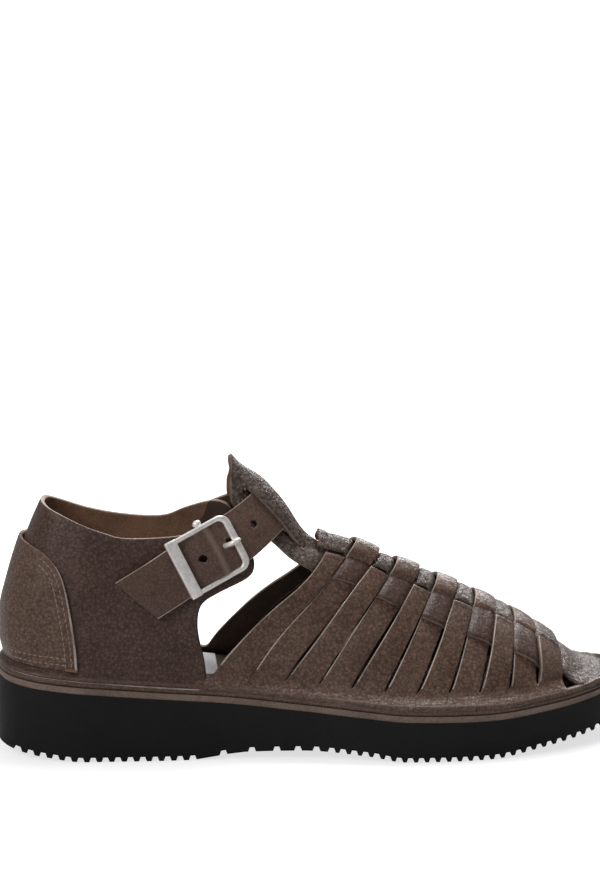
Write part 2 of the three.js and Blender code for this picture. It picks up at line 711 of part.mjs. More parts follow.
// ---------------------------------------------------------------- the shoe
const group = new THREE.Group();
function add(name, geometry, colour, roughness, metalness = 0) {
  const material = new THREE.MeshStandardMaterial({ color: colour, roughness, metalness });
  const mesh = new THREE.Mesh(geometry, material);
  mesh.name = name;
  group.add(mesh);
  return mesh;
}
add('outsole', outsole(), 0x1e1e20, 0.75);
add('midsole', midsole(), 0x6b5a4f, 0.7);
add('welt', welt(), 0x4d3d36, 0.6);
add('insole', insole(), 0x5f4a38, 0.8);
add('upper', upper(), 0x5a4a42, 0.55);
add('heel_counter', heelCounter(), 0x5a4a42, 0.55);
add('tongue', tongue(), 0x5a4a42, 0.55);
add('ankle_strap', ankleStrap(), 0x5a4a42, 0.55);
add('buckle_frame', buckleFrame(), 0xb9b2a8, 0.35, 1);
add('buckle_prong', toGeometry(prongBody(PRONG_RADIUS)), 0xb9b2a8, 0.35, 1);

export default group;
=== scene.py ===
# %% [markdown]
# # A huarache sandal in leather, one shoe
# A fisherman-type huarache: a closed heel, a vamp woven from straps, a tongue, and an ankle strap
# with a buckle, on a black wedge sole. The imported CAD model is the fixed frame, and every piece
# below is laid on the same last (the foot-shaped form that a shoe is built on), so all of them fit
# without being moved afterwards. +X is the toe, +Y the medial side, +Z up. Sizes are written in
# millimetres and become metres where a mesh is made.

# %% Load the frame
import bpy
import bmesh
import math
from functools import lru_cache
from mathutils import Matrix, Vector


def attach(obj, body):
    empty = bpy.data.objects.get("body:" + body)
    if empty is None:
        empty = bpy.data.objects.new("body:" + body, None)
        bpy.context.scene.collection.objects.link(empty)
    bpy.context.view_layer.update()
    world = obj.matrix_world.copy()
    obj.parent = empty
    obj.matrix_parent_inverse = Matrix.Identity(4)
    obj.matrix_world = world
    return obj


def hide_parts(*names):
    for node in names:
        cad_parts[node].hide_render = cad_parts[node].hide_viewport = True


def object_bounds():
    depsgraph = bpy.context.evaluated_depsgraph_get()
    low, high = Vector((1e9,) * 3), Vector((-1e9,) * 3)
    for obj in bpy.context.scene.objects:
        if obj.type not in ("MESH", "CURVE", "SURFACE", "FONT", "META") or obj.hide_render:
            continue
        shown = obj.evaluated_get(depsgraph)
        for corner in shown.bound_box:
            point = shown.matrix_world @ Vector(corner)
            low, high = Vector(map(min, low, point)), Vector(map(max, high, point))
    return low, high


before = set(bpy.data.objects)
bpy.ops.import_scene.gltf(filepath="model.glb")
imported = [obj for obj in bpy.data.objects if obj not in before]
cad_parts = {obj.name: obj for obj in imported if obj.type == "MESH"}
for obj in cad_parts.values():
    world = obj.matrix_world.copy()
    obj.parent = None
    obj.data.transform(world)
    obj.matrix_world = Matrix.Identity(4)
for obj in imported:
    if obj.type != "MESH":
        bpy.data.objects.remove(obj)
cad_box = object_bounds()
MM = 0.001
print(len(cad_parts), "CAD nodes in a box of (mm):",
      [[round(v / MM, 1) for v in corner] for corner in cad_box])

# %% [markdown]
# ## The last
# A last is described here by short tables, one row for each section: half the width of the sole's
# outline, the height of the sole's top, and the height of the ridge. A smooth curve joins the rows.
# Each cross section is a superellipse, so a point of the leather is named by a station along the
# shoe and a girth angle over it: 0 at the lateral foot, half a turn at the medial one. Tables are
# used because a shoemaker also works from a few measured sections and not from a cloud of points.

# %% Tables of the last


def table(columns, *rows):
    """Rows as dictionaries, under the names of their columns."""
    return [dict(zip(columns.split(), row)) for row in rows]


LATERAL, MEDIAL = -1, 1
HALF_LENGTH = 145.0
OUTLINE = table(
    "x centre half",
    (-145, -0.4, 0), (-138, -0.4, 23), (-125, -0.4, 31.8), (-105, -0.4, 35), (-75, -1.2, 34.8),
    (-40, -3.2, 32.4), (-10, -4.8, 34.2), (20, -4.2, 41), (45, -2, 46.8), (65, 0.2, 48.5),
    (85, 2, 46.8), (105, 3.6, 41.2), (122, 4.8, 32.8), (135, 5.4, 21.6), (145, 5.8, 0),
)
PROFILE = table(
    "x bottom top",
    (-145, 5, 35.5), (-124, 2, 33.2), (-105, 0, 31.4), (-60, 0, 27.7), (-33, 3.4, 25.3),
    (-6, 4.2, 22.5), (22, 2.3, 19.9), (38, 0, 18.6), (76, 0, 18), (100, 2.8, 19.5),
    (131, 6.7, 22.3), (145, 9, 24),
)
RIDGE = table(
    "x z",
    (-145, 205), (-90, 225), (-60, 190), (-38, 135.6), (-26, 121.6), (-17, 111.8), (-8, 102.4),
    (0, 97), (15, 92.4), (33, 84), (52, 76), (70, 68.4), (89, 59.6), (104, 50), (117, 40.5),
    (126, 34.4), (133, 32.6), (145, 30),
)
HEEL_LEAN = table(
    "z shift",
    (25, 0.2), (44, 0), (54, -2), (64, -1.6), (78, 1.8), (98, 8.4), (115, 16), (140, 30),
)
GAP, MIDSOLE_THICKNESS, WELT_HEIGHT, WALL = 0.3, 2.5, 4.8, 2.2
WELT_INNER_INSET, FEATHER_INSET = 4.3, 4.7
INSTEP_POWER, TOE_POWER, JOINT_X = 1.5, 2.1, -60.0


def clamp(value, low=0.0, high=1.0):
    return max(low, min(high, value))


def smoothstep(low, high, value):
    t = clamp((value - low) / (high - low))
    return t * t * (3 - 2 * t)


def near(distance, reach):
    """One at no distance, falling softly to nothing at the reach."""
    return math.cos(math.pi / 2 * min(abs(distance) / reach, 1)) ** 2


def row_slope(rows, key, column, i):
    def rise(j):
        return (rows[j + 1][column] - rows[j][column]) / (rows[j + 1][key] - rows[j][key])
    if i == 0:
        return rise(0)
    if i == len(rows) - 1:
        return rise(i - 1)
    before, after = rise(i - 1), rise(i)
    return 0.0 if before * after <= 0 else 2 * before * after / (before + after)


def along(rows, key, column, at):
    """One column of a table, along a smooth curve that never overshoots its rows."""
    i = 0
    while i < len(rows) - 2 and at > rows[i + 1][key]:
        i += 1
    width = rows[i + 1][key] - rows[i][key]
    t = clamp((at - rows[i][key]) / width)
    a, b = rows[i][column], rows[i + 1][column]
    start = row_slope(rows, key, column, i) * width
    end = row_slope(rows, key, column, i + 1) * width
    return (a * (2 * t**3 - 3 * t**2 + 1) + b * (3 * t**2 - 2 * t**3)
            + start * (t**3 - 2 * t**2 + t) + end * (t**3 - t**2))


def station_angle(x):
    return math.acos(clamp(-x / HALF_LENGTH, -1, 1))


OUTLINE_BY_ANGLE = [dict(row, angle=station_angle(row["x"])) for row in OUTLINE]


def sole_bottom(x):
    return along(PROFILE, "x", "bottom", x)


def sole_top(x):
    return along(PROFILE, "x", "top", x)


def midsole_top(x):
    return sole_top(x) + GAP + MIDSOLE_THICKNESS


def welt_top(x):
    return midsole_top(x) + GAP + WELT_HEIGHT


def upper_foot(x):
    return midsole_top(x) + GAP


OUTLINE_STEP = 0.02  # radians either way, to find which way the outline runs


@lru_cache(maxsize=None)
def outline(angle, side, inset):
    """A point of the sole's outline, moved inwards; angle 0 is the heel's tip and pi the toe's."""
    def at(turn):
        folded = math.pi - abs(math.pi - abs(turn))
        mirrored = -1 if turn < 0 or turn > math.pi else 1
        centre = along(OUTLINE_BY_ANGLE, "angle", "centre", folded)
        half = along(OUTLINE_BY_ANGLE, "angle", "half", folded)
        return Vector((-HALF_LENGTH * math.cos(folded), centre + side * mirrored * half))
    run = (at(angle + OUTLINE_STEP) - at(angle - OUTLINE_STEP)).normalized()
    return at(angle) + Vector((run.y, -run.x)) * side * inset


# %% A point of the leather


def section_power(x):
    """The superellipse's power: the toe is flatter and fuller than the instep."""
    return INSTEP_POWER + (TOE_POWER - INSTEP_POWER) * smoothstep(50, 120, x)


@lru_cache(maxsize=None)
def section(angle):
    """The middle, half span and power of one cross section."""
    lateral, medial = outline(angle, LATERAL, FEATHER_INSET), outline(angle, MEDIAL, FEATHER_INSET)
    middle, half = (lateral + medial) / 2, (medial - lateral) / 2
    return middle, half, section_power(middle.x)


def last_point(angle, girth):
    """A point of the upper's outer face, in millimetres."""
    middle, half, power = section(angle)
    cosine = math.cos(girth)
    across = -math.copysign(abs(cosine) ** (2 / power), cosine)
    rise = max(math.sin(girth), 0.0) ** (2 / power)
    x, y = middle.x + half.x * across, middle.y + half.y * across
    foot = upper_foot(x)
    z = foot + (along(RIDGE, "x", "z", x) - foot) * rise
    fade = clamp((JOINT_X - x) / (JOINT_X + HALF_LENGTH))
    return Vector((x + along(HEEL_LEAN, "z", "shift", z) * fade, y, z))


NORMAL_STEP = 0.012  # radians either way, to find which way the last faces


def last_normal(angle, girth):
    """The way out of the last at one of its points."""
    ahead = last_point(angle + NORMAL_STEP, girth) - last_point(angle - NORMAL_STEP, girth)
    over = last_point(angle, girth + NORMAL_STEP) - last_point(angle, girth - NORMAL_STEP)
    return ahead.cross(over).normalized()


def lifted(angle, girth, lift):
    """A point this far over the last."""
    point = last_point(angle, girth)
    return point + last_normal(angle, girth) * lift if lift else point


# %% [markdown]
# ## How the leather leaves the last
# The upper's foot doesn't stand on its edge. It turns outwards over the welt, where it is sewn
# down, and the table says how far out and how high over the welt its last millimetres lie.

# %% Flare of the foot
FLARE = table(
    "leather out over_welt",
    (0, 4.5, -2.2), (3, 3.6, -0.3), (5.5, 1.8, 1.0), (7.6, 0.6, 2.6), (9, 0.0, 4.0),
)


def flared(angle, girth, lift):
    """A point of the upper, whose foot turns outwards over the welt."""
    side = LATERAL if girth < math.pi / 2 else MEDIAL
    total = girth_lengths(round(angle, 3))[0 if side == LATERAL else 1][-1][0]
    from_foot = max(total - distance_at(round(angle, 3), girth), 0)
    point = lifted(angle, girth, lift)
    if from_foot >= FLARE[-1]["leather"]:
        return point
    out = outline(angle, side, 0.0) - outline(angle, side, 1.0)
    point.x += out.x * along(FLARE, "leather", "out", from_foot)
    point.y += out.y * along(FLARE, "leather", "out", from_foot)
    point.z = welt_top(point.x) + along(FLARE, "leather", "over_welt", from_foot)
    return point


def solve(rising, value, low, high, turns=20):
    """The key at which a rising function reaches a value."""
    for _ in range(turns):
        middle = (low + high) / 2
        if rising(middle) < value:
            low = middle
        else:
            high = middle
    return (low + high) / 2


def angle_at(x, girth):
    return solve(lambda angle: last_point(angle, girth).x, x, 0.005, math.pi - 0.005)


def girth_at_height(angle, side, z):
    """The girth angle where a section's side reaches a height."""
    if side == LATERAL:
        return solve(lambda girth: last_point(angle, girth).z, z, 0, math.pi / 2)
    return math.pi - solve(lambda part: last_point(angle, math.pi - part).z, z, 0, math.pi / 2)


GIRTH_STEPS = 60  # in a quarter of a turn


@lru_cache(maxsize=None)
def girth_lengths(angle):
    """Lengths of leather from the ridge and their girth angles, for both sides."""
    sides = []
    for side in (LATERAL, MEDIAL):
        total, last, rows = 0.0, last_point(angle, math.pi / 2), [(0.0, math.pi / 2)]
        for i in range(1, GIRTH_STEPS + 1):
            girth = math.pi / 2 + side * math.pi / 2 * i / GIRTH_STEPS
            here = last_point(angle, girth)
            total += (here - last).length
            last = here
            rows.append((total, girth))
        sides.append(rows)
    return sides


def girth_at(angle, distance):
    """The girth angle this many millimetres of leather from the ridge, lateral below zero."""
    rows = girth_lengths(angle)[0 if distance < 0 else 1]
    target = abs(distance)
    for (walked, girth), (next_walked, next_girth) in zip(rows, rows[1:]):
        if target <= next_walked:
            t = (target - walked) / (next_walked - walked)
            return girth + (next_girth - girth) * t
    return rows[-1][1]


def distance_at(angle, girth):
    """Millimetres of leather from the ridge to a girth angle, always above zero."""
    rows = girth_lengths(angle)[0 if girth < math.pi / 2 else 1]
    part = abs(girth - math.pi / 2) / (math.pi / 2) * (len(rows) - 1)
    i = min(int(part), len(rows) - 2)
    return rows[i][0] + (rows[i + 1][0] - rows[i][0]) * (part - i)


print("ridge of the instep:", [round(v, 1) for v in last_point(station_angle(20), math.pi / 2)])

# %% [markdown]
# ## Helpers for meshes and materials
# Two things repeat for every piece of the shoe: a shape is drawn as a bmesh and becomes mesh data,
# and a finish is a small tree of nodes. Both get helpers here, so the cells below say only what is
# special about their piece.

# %% Mesh helper


def mesh_from(shape, name, materials, sharp=None):
    """Mesh data from a finished bmesh, with smooth shading and its sharp edges kept, in degrees."""
    data = bpy.data.meshes.new(name)
    shape.to_mesh(data)
    shape.free()
    for material in materials:
        data.materials.append(material)
    data.shade_smooth()
    if sharp:
        data.set_sharp_from_angle(angle=math.radians(sharp))
    return data


# %% Node helpers


def new_material(name, colour, roughness, metallic=0.0):
    """A Principled material, its node tree and its shader."""
    material = bpy.data.materials.new(name)
    material.use_nodes = True
    shader = material.node_tree.nodes["Principled BSDF"]
    shader.inputs["Base Color"].default_value = (*colour, 1)
    shader.inputs["Roughness"].default_value = roughness
    shader.inputs["Metallic"].default_value = metallic
    return material, material.node_tree, shader


def join(tree, value, socket):
    """Give a socket a link, a colour or a number."""
    if isinstance(value, bpy.types.NodeSocket):
        tree.links.new(value, socket)
    else:
        socket.default_value = (*value, 1) if socket.type == "RGBA" else value


def node(tree, kind, **settings):
    """A node with some of its sockets or properties set."""
    made = tree.nodes.new(kind)
    for key, value in settings.items():
        if key in made.inputs:
            join(tree, value, made.inputs[key])
        else:
            setattr(made, key, value)
    return made


def operated(tree, kind, operation, values, **settings):
    """The outputs of a node that works on several values in order."""
    made = node(tree, kind, operation=operation, **settings)
    for value, socket in zip(values, made.inputs):
        join(tree, value, socket)
    return made.outputs


def maths(tree, operation, first, second, clamped=False):
    return operated(tree, "ShaderNodeMath", operation, (first, second), use_clamp=clamped)[0]


def add(tree, *values):
    """The sum of any number of values."""
    total = values[0]
    for value in values[1:]:
        total = maths(tree, "ADD", total, value)
    return total


def times(tree, first, second):
    return maths(tree, "MULTIPLY", first, second)


def mapped(tree, value, low, high, to_low=0.0, to_high=1.0, kind="LINEAR"):
    """A value moved from one range to another and held inside it."""
    made = node(tree, "ShaderNodeMapRange", Value=value, interpolation_type=kind)
    limits = {"From Min": low, "From Max": high, "To Min": to_low, "To Max": to_high}
    for label, limit in limits.items():
        made.inputs[label].default_value = limit
    return made.outputs[0]


def noise(tree, place, scale, detail, roughness=0.5):
    return node(tree, "ShaderNodeTexNoise", Vector=place, Scale=scale, Detail=detail,
                Roughness=roughness)


def blend_colour(tree, factor, first, second):
    made = node(tree, "ShaderNodeMix", data_type="RGBA")
    for value, label in ((factor, 0), (first, 6), (second, 7)):
        join(tree, value, made.inputs[label])
    return made.outputs[2]


def bumped(tree, shader, height, strength, depth):
    """Let a height, in metres at its full value, bend the light on a surface."""
    bump = node(tree, "ShaderNodeBump", Height=height, Strength=strength, Distance=depth)
    tree.links.new(bump.outputs[0], shader.inputs["Normal"])


# %% [markdown]
# ## Camera, light and floor
# A long lens a little above the floor keeps the shoe's side view calm, as in a catalogue. Large
# soft lamps from above and from both sides leave a gentle sheen on the leather, and the pale floor
# takes a soft shadow. The camera's aim is worked out from the frame's box.

# %% Camera
AZIMUTH, ELEVATION = math.radians(-5), math.radians(10)
CAMERA_DISTANCE, VIEW_HEIGHT, SENSOR_WIDTH = 1.45, 0.397, 36
AIM_BEHIND_MIDDLE, AIM_OVER_TOP = 0.0057, 0.0077
camera_data = bpy.data.cameras.new("camera")
camera_data.sensor_width = SENSOR_WIDTH
camera_data.lens = SENSOR_WIDTH * CAMERA_DISTANCE / VIEW_HEIGHT
camera_data.clip_end = 200
camera = bpy.data.objects.new("camera", camera_data)
bpy.context.collection.objects.link(camera)
back = Vector((math.sin(AZIMUTH) * math.cos(ELEVATION), -math.cos(AZIMUTH) * math.cos(ELEVATION),
               math.sin(ELEVATION)))
middle_x = (cad_box[0][0] + cad_box[1][0]) / 2
aim = Vector((middle_x - AIM_BEHIND_MIDDLE, 0, cad_box[1][2] + AIM_OVER_TOP))
camera.location = aim + back * CAMERA_DISTANCE
camera.rotation_euler = back.to_track_quat("Z", "Y").to_euler()
bpy.context.scene.camera = camera
print("lens:", round(camera_data.lens, 1), "mm")

# %% Backdrop
# The camera sees pure white, and the shoe is lit by a much weaker one, so its shadows stay deep.
BACKDROP_STRENGTH, AMBIENT_STRENGTH = 1.0, 0.2
scene = bpy.context.scene
scene.view_settings.view_transform = "Standard"
world = bpy.data.worlds.new("studio")
world.use_nodes = True
studio = world.node_tree
white_light = [node(studio, "ShaderNodeBackground", Strength=strength, Color=(1, 1, 1))
               for strength in (AMBIENT_STRENGTH, BACKDROP_STRENGTH)]
chooser = studio.nodes.new("ShaderNodeMixShader")
camera_ray = node(studio, "ShaderNodeLightPath").outputs["Is Camera Ray"]
for value, socket in zip((camera_ray, *(light.outputs[0] for light in white_light)),
                         chooser.inputs):
    studio.links.new(value, socket)
studio.links.new(chooser.outputs[0], studio.nodes["World Output"].inputs["Surface"])
scene.world = world

# %% Lamps
SOFT_BOXES = table(
    "name place height_of_target size watts",
    ("top_light", (0.1, 0.3, 1.2), 0.05, 0.55, 12),
    ("front_light", (-1.0, -1.05, 1.0), 0.06, 0.7, 10.6),
    ("back_light", (0.5, 1.1, 0.8), 0.08, 0.5, 12),
)
for row in SOFT_BOXES:
    data = bpy.data.lights.new(row["name"], "AREA")
    data.shape, data.size, data.energy = "SQUARE", row["size"], row["watts"]
    lamp = bpy.data.objects.new(row["name"], data)
    bpy.context.collection.objects.link(lamp)
    lamp.location = row["place"]
    looks = Vector(row["place"]) - Vector((0, 0, row["height_of_target"]))
    lamp.rotation_euler = looks.to_track_quat("Z", "Y").to_euler()

# %% Floor
# The floor glows a little for the camera alone, and more the further out it is, so that it ends in
# the white backdrop and the shoe's own shadow is all that shows.
FLOOR_TONE, FLOOR_DROP, FLOOR_SIZE = 0.5, 0.0002, 30
GLOW_FROM, GLOW_TO, NEAR_GLOW = 0.16, 0.5, 0.7
paper, paper_tree, paper_shader = new_material("pale_floor", (FLOOR_TONE,) * 3, 0.95)
paper_shader.inputs["Specular IOR Level"].default_value = 0.0
paper_place = node(paper_tree, "ShaderNodeTexCoord").outputs["Object"]
distance_out = operated(paper_tree, "ShaderNodeVectorMath", "LENGTH", (paper_place,))["Value"]
glowing = mapped(paper_tree, distance_out, GLOW_FROM, GLOW_TO, NEAR_GLOW, 1.0, "SMOOTHSTEP")
floor_ray = node(paper_tree, "ShaderNodeLightPath").outputs["Is Camera Ray"]
glow = node(paper_tree, "ShaderNodeEmission", Strength=times(paper_tree, glowing, floor_ray))
paper_mix = paper_tree.nodes.new("ShaderNodeAddShader")
for value, socket in zip((paper_shader.outputs[0], glow.outputs[0]), paper_mix.inputs):
    paper_tree.links.new(value, socket)
paper_tree.links.new(paper_mix.outputs[0], paper_tree.nodes["Material Output"].inputs["Surface"])
floor_shape = bmesh.new()
bmesh.ops.create_grid(floor_shape, x_segments=1, y_segments=1, size=FLOOR_SIZE)
floor = bpy.data.objects.new("floor", mesh_from(floor_shape, "floor", [paper]))
bpy.context.collection.objects.link(floor)
floor.location.z = cad_box[0][2] - FLOOR_DROP

# %% [markdown]
# ## Leather, rubber and metal
# Vegetable-dyed leather shows pebbles about a millimetre wide, with dark lines between them that
# are painted shade, cloudy patches of tone, and a soft sheen. The tips of the pebbles are painted
# lighter as highlights. The pebbles are Voronoi cells bent by noise, and a finer noise mottles
# them. They are kept in one node group, so every leather has the same grain at its own depth. Near
# the shoe's foot, where the upper turns outwards over the welt, the grain also folds into long
# creases. Where leather is cut through, its edge is pale and fibrous, and its inside is suede, so
# each leather piece has three materials, and two more edges where one edge is painted pale as a lit
# rim. The pale edge and the darker suede and edge are lit and shaded copies: painted highlight and
# painted shade.

# %% Grain group
grain_tree = bpy.data.node_groups.new("leather_grain", "ShaderNodeTree")
for label, value in {"Scale": 720.0, "Pucker": 0.5}.items():
    grain_tree.interface.new_socket(
        label, in_out="INPUT", socket_type="NodeSocketFloat").default_value = value
for label in ("Height", "Valleys", "Tips", "Clouds"):
    grain_tree.interface.new_socket(label, in_out="OUTPUT", socket_type="NodeSocketFloat")
grain_in, grain_out = node(grain_tree, "NodeGroupInput"), node(grain_tree, "NodeGroupOutput")
PEBBLE_BEND, CRACK_SHARPNESS = 0.0016, 7.0
CREASE_STRETCH, CREASE_DEPTH = (70, 90, 520), 3.0
CREASES_FROM, CREASES_TO, TOE_RISE = 0.032, 0.044, 0.09
place = node(grain_tree, "ShaderNodeTexCoord").outputs["Object"]
bend = noise(grain_tree, place, 260.0, 2.0).outputs["Color"]
shift = node(grain_tree, "ShaderNodeVectorMath", operation="SCALE", Scale=PEBBLE_BEND)
grain_tree.links.new(bend, shift.inputs[0])
bent = operated(grain_tree, "ShaderNodeVectorMath", "ADD", (place, shift.outputs[0]))[0]
cells = node(grain_tree, "ShaderNodeTexVoronoi", feature="SMOOTH_F1", Vector=bent,
             Scale=grain_in.outputs["Scale"], Smoothness=0.35, Randomness=1.0)
cracks = node(grain_tree, "ShaderNodeTexVoronoi", feature="DISTANCE_TO_EDGE", Vector=bent,
              Scale=grain_in.outputs["Scale"], Randomness=1.0)
pores = noise(grain_tree, place, 2600.0, 3.0).outputs["Fac"]
folds = noise(grain_tree, place, 150.0, 4.0, 0.6).outputs["Fac"]
clouds = noise(grain_tree, place, 38.0, 4.0, 0.6).outputs["Fac"]
mottle = noise(grain_tree, bent, 640.0, 4.0, 0.68).outputs["Fac"]
pebble = maths(grain_tree, "SUBTRACT", 1.0, cells.outputs["Distance"])
axes = node(grain_tree, "ShaderNodeSeparateXYZ", Vector=place).outputs
over_foot = add(grain_tree, axes["Z"], times(grain_tree, axes["X"], TOE_RISE))
stretched = operated(grain_tree, "ShaderNodeVectorMath", "MULTIPLY", (bent, CREASE_STRETCH))[0]
creases = times(grain_tree, noise(grain_tree, stretched, 1.0, 2.0).outputs["Fac"], CREASE_DEPTH)
folded = times(grain_tree, mapped(grain_tree, over_foot, CREASES_TO, CREASES_FROM), creases)
height = add(grain_tree, times(grain_tree, pebble, 0.5), mottle, times(grain_tree, pores, 0.25),
             times(grain_tree, folds, grain_in.outputs["Pucker"]), folded)
valley = maths(grain_tree, "SUBTRACT", 1.0,
               times(grain_tree, cracks.outputs["Distance"], CRACK_SHARPNESS), clamped=True)
# Tips: the raised grain, whose lighter tone in the leathers is a painted highlight.
raised = add(grain_tree, times(grain_tree, pebble, 0.2), times(grain_tree, mottle, 0.8))
tips = mapped(grain_tree, raised, 0.38, 0.72, kind="SMOOTHSTEP")
for value, label in ((height, "Height"), (tips, "Tips"), (valley, "Valleys"), (clouds, "Clouds")):
    grain_tree.links.new(value, grain_out.inputs[label])

# %% Leather
LEATHER_SHEEN, VALLEY_SHADE_STRENGTH, CLOUD_RANGE = 0.27, 0.5, (0.32, 0.68)


def leather_material(name, dark, light, depth=0.00026, scale=600.0, pucker=0.9, roughness=0.42,
                     tip_highlight=0.6):
    """Grained leather whose tone drifts from dark to light, with painted highlights on its grain.
    """
    material, tree, shader = new_material(name, light, roughness)
    shader.inputs["Specular IOR Level"].default_value = LEATHER_SHEEN
    grain = node(tree, "ShaderNodeGroup", node_tree=grain_tree)
    grain.inputs["Scale"].default_value = scale
    grain.inputs["Pucker"].default_value = pucker
    cloudy = mapped(tree, grain.outputs["Clouds"], *CLOUD_RANGE)
    # tip_highlight weights the painted highlight on the grain's tips against the cloudy tone.
    drift = add(tree, times(tree, grain.outputs["Tips"], tip_highlight), times(tree, cloudy, 0.9 - tip_highlight))
    tone = blend_colour(tree, drift, dark, light)
    # The valleys of the grain are darkened towards half the dark tone: painted shade.
    deep = tuple(channel * 0.5 for channel in dark)
    lines = times(tree, grain.outputs["Valleys"], VALLEY_SHADE_STRENGTH)
    tree.links.new(blend_colour(tree, lines, tone, deep), shader.inputs["Base Color"])
    matt = add(tree, roughness - 0.08, times(tree, grain.outputs["Valleys"], 0.2))
    tree.links.new(matt, shader.inputs["Roughness"])
    bumped(tree, shader, grain.outputs["Height"], 0.9, depth)
    return material


LEATHER_DARK = (0.05, 0.027, 0.02)
upper_leather = leather_material("upper_leather", LEATHER_DARK, (0.165, 0.1, 0.079))
# Its light tone is partly a painted highlight, for the band's top and the tongue's crest in light.
crumpled_leather = leather_material(
    "crumpled_leather", (0.036, 0.021, 0.017), (0.25, 0.196, 0.164), depth=0.00055, scale=520.0,
    pucker=1.9, roughness=0.47)
vamp_leather = leather_material("vamp_leather", (0.066, 0.036, 0.025), (0.235, 0.148, 0.112))
strap_leather = leather_material(
    "strap_leather", (0.085, 0.048, 0.036), (0.19, 0.12, 0.094), depth=0.0001, pucker=1.2,
    roughness=0.4, tip_highlight=0.3)
welt_leather = leather_material(
    "welt_leather", (0.085, 0.05, 0.037), (0.2, 0.134, 0.108), depth=0.0002, scale=900.0,
    pucker=1.0, roughness=0.5)

# %% Fibres
FIBRE_RANGE, PATCH_SCALE = (0.36, 0.64), 70.0


def fibre_material(name, dark, light, scale, depth, roughness):
    """Suede, thread or the cut edge of leather: short fibres in two tones."""
    material, tree, shader = new_material(name, light, roughness)
    here = node(tree, "ShaderNodeTexCoord").outputs["Object"]
    fibres = noise(tree, here, scale, 5.0, 0.7).outputs["Fac"]
    patches = noise(tree, here, PATCH_SCALE, 3.0).outputs["Fac"]
    both = add(tree, times(tree, fibres, 0.6), times(tree, patches, 0.4))
    colour = blend_colour(tree, mapped(tree, both, *FIBRE_RANGE), dark, light)
    tree.links.new(colour, shader.inputs["Base Color"])
    bumped(tree, shader, fibres, 0.7, depth)
    return material


FIBRES = table(
    "name dark light scale depth roughness",
    ("suede_lining", (0.1, 0.05, 0.028), (0.27, 0.148, 0.088), 1400.0, 0.0002, 0.85),
    # The pale cut edge is partly painted highlight: it also stands for lit rims and edges.
    ("cut_edge", (0.13, 0.095, 0.072), (0.6, 0.51, 0.44), 1600.0, 0.0001, 0.85),
    # A darker copy of the cut edge, for edges in shadow: painted shade.
    ("raw_edge", (0.05, 0.03, 0.022), (0.27, 0.195, 0.155), 900.0, 0.0001, 0.7),
    # A darker copy of the suede lining, for insides in shadow: painted shade.
    ("dark_suede", (0.022, 0.013, 0.008), (0.075, 0.045, 0.03), 1400.0, 0.0002, 0.85),
    ("edge_leather", (0.115, 0.074, 0.056), (0.24, 0.17, 0.135), 1100.0, 0.00012, 0.6),
    ("waxed_thread", (0.2, 0.15, 0.12), (0.36, 0.28, 0.23), 3000.0, 0.00005, 0.6),
    ("sock_leather", (0.42, 0.41, 0.41), (0.56, 0.55, 0.55), 900.0, 0.00005, 0.5),
)
suede, cut_edge, raw_edge, dark_suede, edge_leather, thread, sock_leather = (
    fibre_material(**row) for row in FIBRES)
print("leathers and fibres:", len(bpy.data.materials))

# %% Rubber
rubber, rubber_tree, rubber_shader = new_material("black_rubber", (0.006, 0.006, 0.007), 0.7)
rubber_shader.inputs["Specular IOR Level"].default_value = 0.22
rubber_place = node(rubber_tree, "ShaderNodeTexCoord").outputs["Object"]
foam = noise(rubber_tree, rubber_place, 900.0, 4.0, 0.7).outputs["Fac"]
bumped(rubber_tree, rubber_shader, foam, 0.5, 0.00015)
dust = noise(rubber_tree, rubber_place, 60.0, 5.0).outputs["Fac"]
rubber_tree.links.new(
    blend_colour(rubber_tree, dust, (0.006, 0.006, 0.0065), (0.012, 0.0118, 0.012)),
    rubber_shader.inputs["Base Color"])

# %% Antique silver
silver, silver_tree, silver_shader = new_material("antique_silver", (0.8, 0.76, 0.73), 0.34, 0.5)
silver_place = node(silver_tree, "ShaderNodeTexCoord").outputs["Object"]
tarnish = noise(silver_tree, silver_place, 420.0, 5.0, 0.65).outputs["Fac"]
silver_tree.links.new(
    blend_colour(silver_tree, mapped(silver_tree, tarnish, 0.35, 0.62), (0.84, 0.78, 0.75),
                 (1.0, 0.97, 0.94)), silver_shader.inputs["Base Color"])
silver_tree.links.new(add(silver_tree, 0.24, times(silver_tree, tarnish, 0.22)),
                      silver_shader.inputs["Roughness"])

# %% [markdown]
# ## Cutting and laying leather
# Every leather piece starts flat, as a grid, the way it is cut from the hide. The grid is laid on
# the last by a rule that gives each of its points a place, unwanted cells are cut out, and a
# Solidify modifier gives the leather its thickness with a cut edge and a suede inside. A
# subdivision then softens it. Where an edge should catch the light, the sheet's last cells along it
# are a narrow rim of their own in a second leather, pale as a painted highlight. A grid is used
# because it keeps the cut lines exact.

# %% Sheet helper


def add_object(name, mesh_data, replaced=()):
    """A piece of the shoe, fixed to the frame's one body."""
    piece = bpy.data.objects.new(name, mesh_data)
    bpy.context.collection.objects.link(piece)
    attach(piece, "root")
    if replaced:
        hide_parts(*replaced)
    return piece


def soften(piece):
    soft = piece.modifiers.new("soft", "SUBSURF")
    soft.levels = soft.render_levels = 1


EDGE_CREASE = 0.75  # how well a cut edge keeps its corner
INSIDE_HEIGHT = 0.045  # of a line inside the shoe that every outer face looks away from


